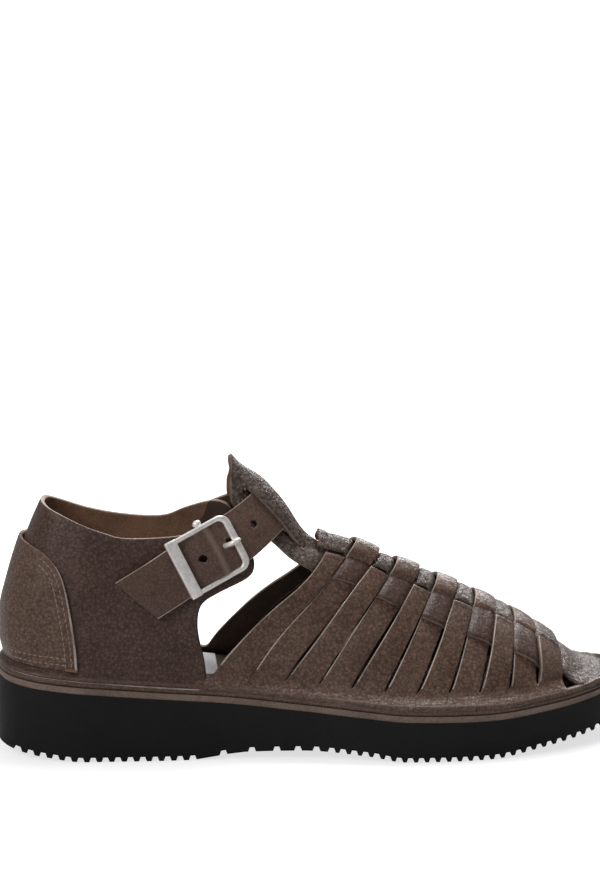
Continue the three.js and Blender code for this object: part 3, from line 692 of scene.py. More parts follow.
def laid_sheet(name, columns, rows, lay, cut=None, thickness=WALL, leather=None, replaced=(),
               second=None, where=None, linings=None, edges=None):
    """A grid laid on the last by lay(u, v) in millimetres; cut(u, v) says which cells go.

    Cells where where(u, v) is true take the second leather, and the second of the two edges.
    """
    shape = bmesh.new()
    bmesh.ops.create_grid(shape, x_segments=columns, y_segments=rows, size=0.5)
    if cut:
        gone = [face for face in shape.faces
                if cut(face.calc_center_median().x + 0.5, face.calc_center_median().y + 0.5)]
        bmesh.ops.delete(shape, geom=gone, context="FACES")
    for face in shape.faces:
        middle = face.calc_center_median()
        if where and where(middle.x + 0.5, middle.y + 0.5):
            face.material_index = 3
    for vert in shape.verts:
        vert.co = lay(vert.co.x + 0.5, vert.co.y + 0.5) * MM
    shape.normal_update()
    middles = [(face.normal, face.calc_center_median()) for face in shape.faces]
    if sum(out.y * middle.y + out.z * (middle.z - INSIDE_HEIGHT) for out, middle in middles) < 0:
        bmesh.ops.reverse_faces(shape, faces=shape.faces)
    kinds = list(zip((leather or upper_leather, second), linings or (suede, suede),
                     edges or (raw_edge, raw_edge)))[:2 if where else 1]
    mesh_data = mesh_from(shape, name, [material for kind in kinds for material in kind])
    piece = add_object(name, mesh_data, replaced)
    wall = piece.modifiers.new("thickness", "SOLIDIFY")
    wall.thickness, wall.offset = thickness * MM, -1
    wall.use_even_offset = False
    wall.material_offset, wall.material_offset_rim = 1, 2
    wall.edge_crease_outer = wall.edge_crease_inner = EDGE_CREASE
    soften(piece)
    print(name, len(mesh_data.polygons), "cells of leather")
    return piece


# %% Smooth lines through a few points


def spline(points, t):
    """A point of the smooth line through these points, t from 0 to 1."""
    spans = len(points) - 1
    i = min(int(clamp(t) * spans), spans - 1)
    s = clamp(t) * spans - i
    before = points[i - 1] if i > 0 else points[0] * 2 - points[1]
    after = points[i + 2] if i + 2 <= spans else points[spans] * 2 - points[spans - 1]
    a, b = points[i], points[i + 1]
    return (a * 2 + (b - before) * s + (before * 2 - a * 5 + b * 4 - after) * s * s
            + (a * 3 - before - b * 3 + after) * s**3) * 0.5


def even_line(points, steps):
    """The same line at even distances."""
    fine = [spline(points, i / (steps * 6)) for i in range(steps * 6 + 1)]
    lengths = [0.0]
    for a, b in zip(fine, fine[1:]):
        lengths.append(lengths[-1] + (b - a).length)
    result, j = [], 0
    for i in range(steps + 1):
        target = lengths[-1] * i / steps
        while j < len(fine) - 2 and lengths[j + 1] < target:
            j += 1
        t = clamp((target - lengths[j]) / max(lengths[j + 1] - lengths[j], 1e-9))
        result.append(fine[j].lerp(fine[j + 1], t))
    return result


def spot(side, x, z):
    """The station angle and girth angle of the last's point at x and z, seen from one side."""
    def turned(part):
        return part if side == LATERAL else math.pi - part

    def height(part):
        return last_point(angle_at(x, turned(part)), turned(part)).z
    girth = turned(solve(height, z, 0, math.pi / 2, 16))
    return angle_at(x, girth), girth


# %% [markdown]
# ## Quarter
# The quarter is one piece of leather that goes round the heel, from a tab under the buckle to its
# twin on the medial side. Each half is a patch between four drawn edges: the foot on the midsole,
# the collar, the front edge and the middle of the heel. The inner points are blended from the
# four edges (a Coons patch), because then the collar and the front edge stay exactly as drawn. The
# collar's cut edge is pale, partly as a painted highlight, and the tabs' edges and their insides
# are dark with painted shade.

# %% Edges of the quarter, in side view


def side_view(*pairs):
    return [Vector(pair) for pair in pairs]


COLLAR = {
    LATERAL: side_view((-29.3, 92.5), (-33, 99.5), (-40, 102.6), (-50, 103), (-66, 101.2),
                       (-87, 101), (-96, 103.4), (-106, 107), (-117, 112), (-124.5, 115)),
    MEDIAL: side_view((-33.4, 99), (-36.4, 108), (-41, 110.8), (-47, 110), (-57.6, 106),
                      (-68, 101.8), (-86, 102.5), (-101, 105.6), (-113, 110), (-124.5, 115)),
}
QUARTER_FRONT = {
    LATERAL: side_view((-50.8, 33), (-51, 41), (-51.9, 47), (-53.8, 55), (-54.5, 62.5),
                       (-52.8, 70), (-46.5, 74.3), (-31, 81.5), (-28.2, 87), (-29.3, 92.5)),
    MEDIAL: side_view((-52, 33), (-52.6, 41), (-53.3, 47), (-55.2, 55), (-55.5, 62),
                      (-53.5, 69), (-47, 77), (-37, 87), (-33.8, 92.5), (-33.4, 99)),
}


def patch(side, top_points, front_points, columns, rows, foot, rim):
    """Stations and heights of a half patch, from its front edge to the middle of the heel.

    Its first column is a narrow rim, this part of a column wide.
    """
    def flat(point):
        return Vector((spot(side, point.x, point.y)[0], point.y))
    top = [flat(point) for point in even_line(top_points, columns)]
    top[-1].x = 0.0
    top[1] = top[0].lerp(top[1], rim)
    front = [flat(point) for point in even_line(front_points, rows)]
    first = front[0].x
    across = [0, rim / columns, *(i / columns for i in range(2, columns + 1))]
    bottom = [Vector((first * (1 - u), 0)) for u in across]
    for point in bottom:
        point.y = foot(-HALF_LENGTH * math.cos(point.x))
    front[0].y = bottom[0].y
    rear = [Vector((0.0, bottom[-1].y + (top[-1].y - bottom[-1].y) * j / rows))
            for j in range(rows + 1)]

    def at(i, j):
        u, v = across[i], j / rows
        between = front[j] * (1 - u) + rear[j] * u
        up = bottom[i] * (1 - v) + top[i] * v
        corners = (bottom[0] * (1 - u) * (1 - v) + bottom[-1] * u * (1 - v)
                   + top[0] * (1 - u) * v + top[-1] * u * v)
        return between + up - corners
    return at


def round_the_heel(name, top, front, columns, rows, foot, lift, laid, rim=0.2, **options):
    """Both halves of a piece round the heel, joined at the middle of the heel."""
    halves = {side: patch(side, top[side], front[side], columns, rows, foot, rim)
              for side in (LATERAL, MEDIAL)}

    def lay(u, v):
        i, j = round(u * 2 * columns), round(v * rows)
        side = LATERAL if i <= columns else MEDIAL
        angle, z = halves[side](i if side == LATERAL else 2 * columns - i, j)
        angle = max(angle, 0.0)
        girth = girth_at_height(angle, side, z)
        return laid(max(angle, 0.002), girth, lift(angle, z))
    return laid_sheet(name, 2 * columns, rows, lay, **options)


def heel_dents(angle, z):
    """Soft unevenness of the quarter's wall."""
    return 0.35 * math.sin(9 * angle + 0.05 * z) * math.sin(0.11 * z + 2)


QUARTER_COLUMNS, QUARTER_ROWS, TAB_PART = 46, 30, 0.9


def in_tab(u, v):
    """True at both front edges and over the medial tab, which get a shaded inside and edge."""
    return min(u, 1 - u) * 2 * QUARTER_COLUMNS < 1 or u > TAB_PART


round_the_heel("quarter", COLLAR, QUARTER_FRONT, QUARTER_COLUMNS, QUARTER_ROWS, upper_foot,
               heel_dents, flared, rim=1, second=upper_leather, where=in_tab,
               linings=(suede, dark_suede), edges=(cut_edge, raw_edge))

# %% [markdown]
# ## Heel counter
# An overlay round the heel, held by two rows of stitches along its free edge and two along its
# foot. It lies on the quarter, so the same patch is used, lifted by its own thickness.

# %% Counter
COUNTER_THICKNESS, COUNTER_LIFT, COUNTER_OVER_WELT = 1.6, 2.0, 1.6
COUNTER_COLUMNS, COUNTER_ROWS = 26, 22
counter_top = side_view((-119.5, 91), (-122.5, 93.8), (-127.5, 96.4), (-134, 98.5))
counter_front = side_view((-108.6, 38.5), (-109.2, 50), (-111, 64), (-113.4, 78), (-116, 86),
                          (-119.5, 91))


def counter_foot(x):
    return welt_top(x) + COUNTER_OVER_WELT


round_the_heel(
    "heel_counter_cover", {LATERAL: counter_top, MEDIAL: counter_top},
    {LATERAL: counter_front, MEDIAL: counter_front}, COUNTER_COLUMNS, COUNTER_ROWS, counter_foot,
    lambda angle, z: COUNTER_LIFT, lifted, thickness=COUNTER_THICKNESS, replaced=("heel_counter",),
    leather=vamp_leather, second=cut_edge,
    where=lambda u, v: min(u, 1 - u) * 2 * COUNTER_COLUMNS < 1)

# %% [markdown]
# ## Stitches
# Two rows of waxed thread hold the counter along its free edge, and two more along its foot. Each
# stitch is a small rounded bar that dips into the leather at both ends, and all of them are one
# mesh. They are real geometry because they catch the light as small bright dashes.

# %% Stitches
STITCH_PITCH, STITCH_LENGTH, STITCH_RADIUS = 2.5, 1.9, 0.3
EDGE_ROWS, FOOT_ROW_RISES, LAST_STITCH_X = (2.4, 5.0), (2.6, 5.6), -132


def on_counter(side, x, z):
    """A point on the counter's outer face, and the way out of it, seen at x and z."""
    angle, girth = spot(side, x, z)
    return lifted(angle, girth, COUNTER_LIFT + 0.02), last_normal(angle, girth)


def add_stitches(shape, side, route):
    """Stitches along a line in side view."""
    ends = [on_counter(side, x, z) for x, z in route]
    length = sum((b[0] - a[0]).length for a, b in zip(ends, ends[1:]))
    count = max(int(length / STITCH_PITCH), 1)
    places = even_line([place for place, _ in ends], count)
    for i in range(count):
        here = places[i].lerp(places[i + 1], 0.5)
        run = (places[i + 1] - places[i]).normalized()
        part = (i + 0.5) / count * (len(ends) - 1)
        j = min(int(part), len(ends) - 2)
        out = ends[j][1].lerp(ends[j + 1][1], part - j)
        across = out.cross(run).normalized()
        turn = Matrix((run, across, run.cross(across))).transposed().to_4x4()
        bar = bmesh.ops.create_icosphere(shape, subdivisions=2, radius=STITCH_RADIUS)["verts"]
        bmesh.ops.scale(shape, vec=(STITCH_LENGTH / 2 / STITCH_RADIUS, 1, 0.8), verts=bar)
        bmesh.ops.transform(shape, matrix=Matrix.Translation(here) @ turn, verts=bar)


def inside_line(points, inset):
    """A line in side view moved towards the heel and downwards."""
    moved = []
    for i, point in enumerate(points):
        run = points[min(i + 1, len(points) - 1)] - points[max(i - 1, 0)]
        moved.append(point + Vector((-run.y, run.x)).normalized() * inset)
    return moved


thread_shape = bmesh.new()
edge_line = side_view((-108.8, 43), (-109.4, 52), (-111, 64), (-113.4, 78), (-116.2, 86.5),
                      (-121, 92.4), (-128, 96.4))
for side in (LATERAL, MEDIAL):
    for inset in EDGE_ROWS:
        add_stitches(thread_shape, side, [point for point in inside_line(edge_line, inset)
                                          if point.x > LAST_STITCH_X])
    for rise in FOOT_ROW_RISES:
        add_stitches(thread_shape, side, [(x, counter_foot(x) + rise)
                                          for x in (-113.5, -118, -123, -128, -133, -137, -140)])
bmesh.ops.scale(thread_shape, vec=(MM, MM, MM), verts=thread_shape.verts)
stitches = add_object("counter_stitches", mesh_from(thread_shape, "counter_stitches", [thread]))
print("stitch faces:", len(stitches.data.polygons))

# %% [markdown]
# ## Woven vamp
# The vamp is one comb of leather: eleven straps that are joined along both feet by an uncut margin
# and run over the instep. Straps A, C, E and so on pass over the side strips and under the middle
# band, and straps B, D, F and so on pass under the side strips and rise in a loop over the band.
# The comb is one grid whose columns follow the straps. The cells between two straps are cut out,
# and the weave is only a rule for how high each point lies over the last, because real straps are
# also flat leather that is bent up and down and not stretched.

# %% Weave rules
STRAP_FEET = (-44, -28.9, -14.6, -0.3, 14, 28.3, 42.6, 56.9, 71.2, 85.5, 99.8, 112)
STRAP_RIDGES = (8.6, 18.2, 29, 37.3, 48.2, 56.2, 66, 74.4, 84, 92.2, 102.2, 113.5)
STRAPS = len(STRAP_FEET) - 1
OVER, UNDER, BAND_OVER = 1.2, -0.9, 2.1
CROWN, TILT, KNUCKLE, TUCK_UNDER_BAND = 0.4, 0.45, 0.5, 0.4
OUTSIDE_COMB_STEP, CHANGE_OVER = 12, 0.13
LOW_BAND_X, LOW_BAND_REACH, LOW_BAND_SINK, LOW_LOOP_SINK = 88.0, 28.0, 1.0, 0.6
FIRST_LOOP_RISE, LAST_LOOP_RISE = 3.6, 1.0
COMB_MARGIN = 9.0
SLIT_RISE = 0.12
FIRST_BOW, FIRST_TUCK = 3.9, 1.5  # of strap A's rear edge, and of strap B under it


def band_half(x):
    """Half the width of the middle band, in millimetres of leather."""
    return 8.8 + 6.7 * smoothstep(5, 100, x)


def strip_edge(x):
    """Leather from the ridge to the outer edge of a side strip."""
    return 20.5 + 14 * smoothstep(-10, 95, x)


def rise_over(girth, x):
    """Part of the height from the foot to the ridge that a girth angle stands for."""
    return max(math.sin(girth), 0.0) ** (2 / section_power(x))


def slanted(foot, ridge, girth, x):
    """Where a line between two straps is, from the lower end of its slit to the ridge."""
    part = (rise_over(girth, x) - SLIT_RISE) / (1 - SLIT_RISE)
    bow = FIRST_BOW * math.sin(math.pi * clamp(part)) if foot == STRAP_FEET[0] else 0
    return foot + (ridge - foot) * part + bow


def strap_number(x, girth):
    """Place in the row of straps: 0 to 1 is over strap A, 1 to 2 over strap B."""
    edges = [slanted(foot, ridge, girth, x) for foot, ridge in zip(STRAP_FEET, STRAP_RIDGES)]
    if x <= edges[0]:
        return (x - edges[0]) / OUTSIDE_COMB_STEP
    for k in range(STRAPS):
        if x < edges[k + 1]:
            return k + (x - edges[k]) / (edges[k + 1] - edges[k])
    return STRAPS + (x - edges[-1]) / OUTSIDE_COMB_STEP


def alternate(number):
    """One over straps A, C and E, minus one over straps B, D and F."""
    k = round(number)
    kind = 1 if (k - 1) % 2 == 0 else -1
    return kind * (1 - 2 * smoothstep(k - CHANGE_OVER, k + CHANGE_OVER, number))


def strap_lift(strap, across, distance, x):
    """Height of a strap's outer face over the last, this far from the ridge."""
    half, edge = band_half(x), strip_edge(x)
    past_strip = 1 - 0.55 * smoothstep(edge + 2, edge + 28, distance)
    crown = CROWN * (1 - (2 * across - 1) ** 2)
    tilt = TILT * (1 - 2 * across)
    loop = FIRST_LOOP_RISE + (LAST_LOOP_RISE - FIRST_LOOP_RISE) * strap / (STRAPS - 1)
    if strap % 2 == 0:
        in_band = smoothstep(half + 1.2, half - 0.6, distance)
        outside = OVER * past_strip + KNUCKLE * near(distance - half - 1.5, 3.5)
        return outside + (UNDER - TUCK_UNDER_BAND - outside) * in_band + crown + tilt
    in_band = smoothstep(half + 1.8, half - 1.2, distance)
    outside = UNDER * past_strip
    arch = math.cos(math.pi / 2 * min(distance / (half + 2), 1)) ** 0.6
    top = OVER - LOW_LOOP_SINK * near(x - LOW_BAND_X, LOW_BAND_REACH) + loop * arch
    return outside + (top - outside) * in_band + crown + tilt * (1 - in_band)


# %% Lines of the comb
FOOT_ROWS = (0, 3, 5.5, 7.6, COMB_MARGIN)
SIDE_STEPS = 13
RIDGE_STEP, RIDGE_REACH = 1.5, 30.0
ridge_rows = [i * RIDGE_STEP - RIDGE_REACH for i in range(int(2 * RIDGE_REACH / RIDGE_STEP) + 1)]


def comb_line(foot, ridge):
    """Angle, girth and distance from the ridge at every row of one line between two straps."""
    def settle(girth_for):
        x, angle, girth = ridge, angle_at(ridge, math.pi / 2), math.pi / 2
        for _ in range(4):
            girth = girth_for(angle)
            x = slanted(foot, ridge, girth, x)
            angle = angle_at(x, girth)
        return angle, girth

    def from_ridge(distance):
        return settle(lambda angle: girth_at(angle, distance))

    def from_foot(side, distance):
        def wanted(angle):
            total = girth_lengths(angle)[0 if side == LATERAL else 1][-1][0]
            return girth_at(angle, side * (total - distance))
        return settle(wanted)
    rows = []
    for side in (LATERAL, MEDIAL):
        feet = [from_foot(side, distance) for distance in FOOT_ROWS]
        near_foot, near_ridge = feet[-1], from_ridge(side * RIDGE_REACH)
        between = []
        for i in range(1, SIDE_STEPS):
            girth = near_foot[1] + (near_ridge[1] - near_foot[1]) * i / SIDE_STEPS
            x = slanted(foot, ridge, girth, ridge)
            between.append((angle_at(x, girth), girth))
        rows.append(feet + between)
    middle = [from_ridge(distance) for distance in ridge_rows]
    return rows[0] + middle + rows[1][::-1]


REAR_FOOT, REAR_RIDGE = -51.0, -2.0
comb_lines = [comb_line(REAR_FOOT, REAR_RIDGE)]
comb_lines += [comb_line(foot, ridge) for foot, ridge in zip(STRAP_FEET, STRAP_RIDGES)]
COMB_ROWS = len(comb_lines[0]) - 1
print("comb rows:", COMB_ROWS)

# %% Comb
STRAP_PARTS = (0, 0.015, 0.2, 0.4, 0.6, 0.8, 0.965, 1)
RIM_COLUMNS = 4
SLIT_HALF = (0.05, 0.05, 0.4, 0.25, 0.5, 0.42, 0.42, 0.42, 0.42, 0.55, 0.5, 0.05)
STRAP_SPACING, CLOSED_SLIT, RIPPLE = 11.0, 0.15, 0.3
comb_columns = [(-1, i / RIM_COLUMNS) for i in range(RIM_COLUMNS)]
slit_after, lit_rim_after = set(), set()
for strap in range(STRAPS):
    lit_rim_after.add(len(comb_columns))
    comb_columns += [(strap, part) for part in STRAP_PARTS]
    slit_after.add(len(comb_columns) - 1)
slit_after.discard(len(comb_columns) - 1)
COMB_COLUMNS = len(comb_columns) - 1


def comb_point(u, v):
    strap, t = comb_columns[round(u * COMB_COLUMNS)]
    row = round(v * COMB_ROWS)
    from_edge = min(row, COMB_ROWS - row)
    low, high = comb_lines[strap + 1][row], comb_lines[strap + 2][row]
    open_part = smoothstep(2, 6, from_edge) * (1 - 0.6 * smoothstep(10, 24, from_edge))
    if strap >= 0:
        before, after = (half * (open_part + CLOSED_SLIT) / STRAP_SPACING
                         for half in SLIT_HALF[strap:strap + 2])
        if strap == 1 and row > COMB_ROWS / 2:
            before = -FIRST_TUCK * open_part / STRAP_SPACING
        t = before + (1 - before - after) * t
    angle = low[0] + (high[0] - low[0]) * t
    girth = low[1] + (high[1] - low[1]) * t
    if strap < 0:
        return flared(angle, girth, 0.0)
    lift = strap_lift(strap, t, distance_at(angle, girth), last_point(angle, girth).x)
    lift *= smoothstep(1, 12, from_edge)
    wave = math.sin(strap * 2.1 + from_edge * 1.1 + t * 5)
    return flared(angle, girth, lift + RIPPLE * wave * smoothstep(9, 3, from_edge))


def comb_cut(u, v):
    column = int(u * COMB_COLUMNS)
    row = v * COMB_ROWS
    from_edge = min(row, COMB_ROWS - row)
    if column < RIM_COLUMNS:
        return from_edge > 4
    return column in slit_after and from_edge > 4


# The first narrow column of each strap is a pale rim: a painted highlight on its rear edge.
def comb_lit_rim(u, v):
    row = v * COMB_ROWS
    return int(u * COMB_COLUMNS) in lit_rim_after and min(row, COMB_ROWS - row) > 5


laid_sheet("vamp_comb", COMB_COLUMNS, COMB_ROWS, comb_point, comb_cut, thickness=2.0,
           replaced=("upper",), leather=vamp_leather, second=cut_edge, where=comb_lit_rim,
           linings=(dark_suede, dark_suede))

# %% [markdown]
# ## Middle band and toe piece
# A crumpled band runs along the ridge, under the loops and over the other straps. In front of the
# last strap it widens into the toe piece, which goes down to the welt and leaves a small triangular
# opening on each side. Band and toe are one sheet, so one grid is used and only its width changes.

# %% Band and toe
BAND_START, BAND_END = 1.0, 140.5
WIDEN_FROM, WIDEN_TO = 103.0, 123.5
BAND_COLUMNS, BAND_ROWS = 112, 26
RAISED_END, RAISED_REACH, HUMP, TOE_LIFT, CRUMPLE = 0.9, 7, 0.6, 0.2, 0.25


def band_point(u, v):
    ridge_x = BAND_START + (BAND_END - BAND_START) * u
    angle = angle_at(ridge_x, math.pi / 2)
    side = LATERAL if v < 0.5 else MEDIAL
    total = girth_lengths(angle)[0 if side == LATERAL else 1][-1][0]
    half = band_half(ridge_x)
    part = half / total
    part += (1 - part) * clamp((ridge_x - WIDEN_FROM) / (WIDEN_TO - WIDEN_FROM))
    distance = part * total * abs(2 * v - 1)
    girth = girth_at(angle, side * distance)
    x = last_point(angle, girth).x
    number = strap_number(x, girth)
    over = alternate(max(number, 0.5))
    woven = (BAND_OVER + UNDER) / 2 + over * (BAND_OVER - UNDER) / 2
    under_last_strap = smoothstep(half - 0.5, half + 1.5, distance)
    woven += (UNDER - woven) * under_last_strap
    toe = smoothstep(STRAPS, STRAPS + 0.25, number)
    hump = HUMP * max(over, 0) * max(1 - (distance / half) ** 2, 0)
    lift = (woven + hump) * (1 - toe) + TOE_LIFT * toe
    lift += RAISED_END * near(ridge_x - BAND_START, RAISED_REACH)
    lift -= LOW_BAND_SINK * near(ridge_x - LOW_BAND_X, LOW_BAND_REACH) * max(over, 0) * (1 - toe)
    wrinkle = math.sin(1.3 * ridge_x + 5 * v) * math.sin(0.9 * distance + 0.23 * ridge_x)
    return flared(angle, girth, lift + CRUMPLE * wrinkle)


laid_sheet("middle_band_and_toe", BAND_COLUMNS, BAND_ROWS, band_point, thickness=1.9,
           leather=crumpled_leather)

# %% [markdown]
# ## Tongue and side strips
# The tongue stands over the instep behind the vamp. Two slits in it let the ankle strap through, so
# its middle bridges the strap. In front its margins become the side strips, which are woven through
# the vamp on both sides of the band. It is one sheet with the cells between the strips cut out.

# %% Tongue
TONGUE_START, TONGUE_END, TONGUE_HALF = -38.0, 111.5, 24.0
SLIT_GIRTH, SLIT_GAP = 11.3, 0.35
STRAP_CROSSING_X, TONGUE_SWEEP, CRUMPLED_TO = -17.0, 3.4, 6
MIDDLE_SINK, MARGIN_SINK = 1.9, 0.7
SLIT_FROM, SLIT_TO, STRIPS_FROM, MIDDLE_END = -32.5, -4, 4, 13
BRIDGE = table(
    "x lift",
    (-38, 0.9), (-34, 1.7), (-31, 3.0), (-28, 4.2), (-24, 4.8), (-20, 4.7), (-16, 4.2), (-12, 3.2),
    (-9, 2.1), (-6, 0.9), (-3, 0.1), (0, 0), (120, 0),
)
margin_parts = (0, 0.25, 0.5, 0.75, 1)
MIDDLE_PARTS = (-1, -0.67, -0.33, 0, 0.33, 0.67, 1)
TONGUE_LINES = ([("margin", -part) for part in reversed(margin_parts)]
                + [("middle", part) for part in MIDDLE_PARTS]
                + [("margin", part or 1e-9) for part in margin_parts])
TONGUE_COLUMNS, TONGUE_ROWS = 104, len(TONGUE_LINES) - 1


def tongue_x(u):
    return TONGUE_START + (TONGUE_END - TONGUE_START) * u


def tongue_point(u, v):
    row = round(v * TONGUE_ROWS)
    station, (kind, part) = tongue_x(u), TONGUE_LINES[row]
    inside = kind == "middle"
    slit = min(SLIT_GIRTH, band_half(station)) if station > -2 else SLIT_GIRTH
    side = -1 if row < len(margin_parts) else 1
    if inside:
        distance = part * slit
    else:
        outer = strip_edge(station) + (TONGUE_HALF - strip_edge(station)) * near(station + 38, 36)
        distance = side * (slit + SLIT_GAP + (outer - slit - SLIT_GAP) * abs(part))
    sweep = min((distance / SLIT_GIRTH) ** 2, 1) * near(station - STRAP_CROSSING_X, 20)
    angle = angle_at(station - TONGUE_SWEEP * sweep, math.pi / 2)
    girth = girth_at(angle, distance)
    x = last_point(angle, girth).x
    number = strap_number(x, girth)
    woven = (OVER + UNDER) / 2 - alternate(number) * (OVER - UNDER) / 2
    if inside:
        woven = UNDER - MIDDLE_SINK
    weave_part = smoothstep(-1.1, -0.1, number)
    lift = -0.3 * (1 - weave_part) + woven * weave_part
    if inside:
        lift += along(BRIDGE, "x", "lift", station)
    else:
        lift -= MARGIN_SINK * near(station - STRAP_CROSSING_X, 22)
    return lifted(angle, girth, lift)


def tongue_cut(u, v):
    x, line = tongue_x(u), int(v * TONGUE_ROWS)
    first, last = len(margin_parts) - 1, TONGUE_ROWS - len(margin_parts)
    if line in (first, last):
        return x > STRIPS_FROM or SLIT_FROM < x < SLIT_TO
    return first < line < last and x > MIDDLE_END


laid_sheet("tongue_and_side_strips", TONGUE_COLUMNS, TONGUE_ROWS, tongue_point, tongue_cut,
           thickness=2.0, replaced=("tongue",), second=crumpled_leather,
           where=lambda u, v: tongue_x(u) < CRUMPLED_TO)

# %% [markdown]
# ## Ankle strap
# The strap starts as a tail on the lateral quarter, passes through the buckle and under the
# tongue's bridge, and ends on the outside of the medial quarter. Its holes are punched while it is
# flat, as a shoemaker does, and only then is it bent along its route on the last.

# %% Route of the strap
STRAP_WIDTH, STRAP_THICKNESS, STRAP_CLEARANCE = 24.0, 2.2, 1.1
STRAP_RISE, STRAP_RISE_SPAN, STRAP_TAIL_SKEW = 3.2, 11.0, 7.8
HOLE_RADIUS, HOLE_PITCH, FRAME_X, PRONG_HOLE_X = 1.9, 14.5, -50.1, -40.3
FRAME_TILT, FRAME_SHIFT = math.radians(-2.0), 0.7
PIVOT_ALONG = 1.6
STRAP_ROUTE = (
    (LATERAL, -85.4, 71.4), (LATERAL, -73, 78.8), (LATERAL, -61.5, 85.6), (LATERAL, -49.8, 92),
    (LATERAL, -37.8, 98.2), (LATERAL, -22.6, 108.8), (MEDIAL, -17.5, 112), (MEDIAL, -24.5, 107.4),
    (MEDIAL, -37, 101.5), (MEDIAL, -52, 94),
)
strap_spots = [spot(side, x, z) for side, x, z in STRAP_ROUTE]
strap_places = [last_point(angle, girth) for angle, girth in strap_spots]
strap_normals = [last_normal(angle, girth) for angle, girth in strap_spots]
STRAP_SAMPLES = 400
strap_line = even_line(strap_places, STRAP_SAMPLES)
STRAP_LENGTH = sum((b - a).length for a, b in zip(strap_line, strap_line[1:]))
strap_marks = [0.0]
for a, b in zip(strap_places, strap_places[1:]):
    strap_marks.append(strap_marks[-1] + (b - a).length)


def strap_frame(distance):
    """Place and axes of the wall under the strap's middle line, this far from its tail."""
    part = clamp(distance / STRAP_LENGTH) * STRAP_SAMPLES
    i = min(int(part), STRAP_SAMPLES - 1)
    place = strap_line[i].lerp(strap_line[i + 1], part - i)
    i = clamp(i, 2, STRAP_SAMPLES - 3)
    run = (strap_line[i + 3] - strap_line[i - 2]).normalized()
    walked, j = distance / STRAP_LENGTH * strap_marks[-1], 0
    while j < len(strap_marks) - 2 and strap_marks[j + 1] < walked:
        j += 1
    t = clamp((walked - strap_marks[j]) / (strap_marks[j + 1] - strap_marks[j]))
    across = strap_normals[j].lerp(strap_normals[j + 1], t).cross(run).normalized()
    return place, run, across, run.cross(across)


def strap_at(x):
    return solve(lambda distance: strap_frame(distance)[0].x, x, 0, STRAP_LENGTH / 2)


FRAME_AT, PRONG_HOLE_AT = strap_at(FRAME_X), strap_at(PRONG_HOLE_X)
highest = max(range(STRAP_SAMPLES), key=lambda i: strap_line[i].z)
CROSSING_AT = highest * STRAP_LENGTH / STRAP_SAMPLES
print("strap:", round(STRAP_LENGTH, 1), "mm; buckle at", round(FRAME_AT, 1))

# %% Strap
STRAP_CELLS, STRAP_CELL_ROWS, STRAP_RIM = 148, 24, 0.18
HOLES = [PRONG_HOLE_AT + k * HOLE_PITCH for k in (-1, 0, 1)]
NARROWING, STRAP_CROWN, LIT_RIM_TO = 0.09, 0.5, 0.6
SHIFT_REACH, TAIL_LIFT, TAIL_REACH = 26, 0.9, 30
CROSSING_SINK, CROSSING_TILT, CROSSING_REACH = 1.2, 2.0, 20


def along_strap_at(u, side):
    """Distance from the tail, whose end is cut askew."""
    start = STRAP_TAIL_SKEW * (0.5 - side / STRAP_WIDTH)
    return start + (STRAP_LENGTH - start) * u


def side_at(row):
    """Distance from the strap's middle line; the outermost rows are the rims."""
    across = (row - 1) / (STRAP_CELL_ROWS - 2) * (STRAP_WIDTH - 2 * STRAP_RIM) + STRAP_RIM
    if not 0 < row < STRAP_CELL_ROWS:
        across = STRAP_WIDTH * row
    return clamp(across, 0, STRAP_WIDTH) - STRAP_WIDTH / 2


def punched(u, v):
    side = side_at(v * STRAP_CELL_ROWS)
    distance = along_strap_at(u, side)
    return any(math.hypot(distance - hole, side) < HOLE_RADIUS * 0.9 for hole in HOLES)


def strap_point(u, v):
    side = side_at(round(v * STRAP_CELL_ROWS))
    distance = along_strap_at(u, side)
    for hole in HOLES:
        radius = math.hypot(distance - hole, side)
        if 0 < radius < HOLE_RADIUS * 1.25:
            distance = hole + (distance - hole) * HOLE_RADIUS / radius
            side = side * HOLE_RADIUS / radius
    place, run, across, up = strap_frame(distance)
    side += FRAME_SHIFT * near(distance - FRAME_AT, SHIFT_REACH)
    side *= 1 - NARROWING * smoothstep(FRAME_AT + 8, CROSSING_AT - 8, distance)
    rise = STRAP_RISE * near(distance - FRAME_AT - PIVOT_ALONG, STRAP_RISE_SPAN)
    crown = STRAP_CROWN * (1 - (2 * side / STRAP_WIDTH) ** 2)
    front = clamp(0.5 - side / STRAP_WIDTH)
    rise -= (CROSSING_SINK + CROSSING_TILT * front) * near(distance - CROSSING_AT, CROSSING_REACH)
    rise += TAIL_LIFT * near(distance, TAIL_REACH)
    return place + across * side + up * (STRAP_CLEARANCE + STRAP_THICKNESS + rise + crown)


# Both edges of the strap, from the tail on, are a pale rim: a painted highlight.
def strap_lit_rim(u, v):
    return min(v, 1 - v) * STRAP_CELL_ROWS < 1 and u < LIT_RIM_TO


laid_sheet("ankle_strap_leather", STRAP_CELLS, STRAP_CELL_ROWS, strap_point, punched,
           thickness=STRAP_THICKNESS, replaced=("ankle_strap",), leather=strap_leather,
           second=cut_edge, where=strap_lit_rim, linings=(dark_suede, dark_suede))
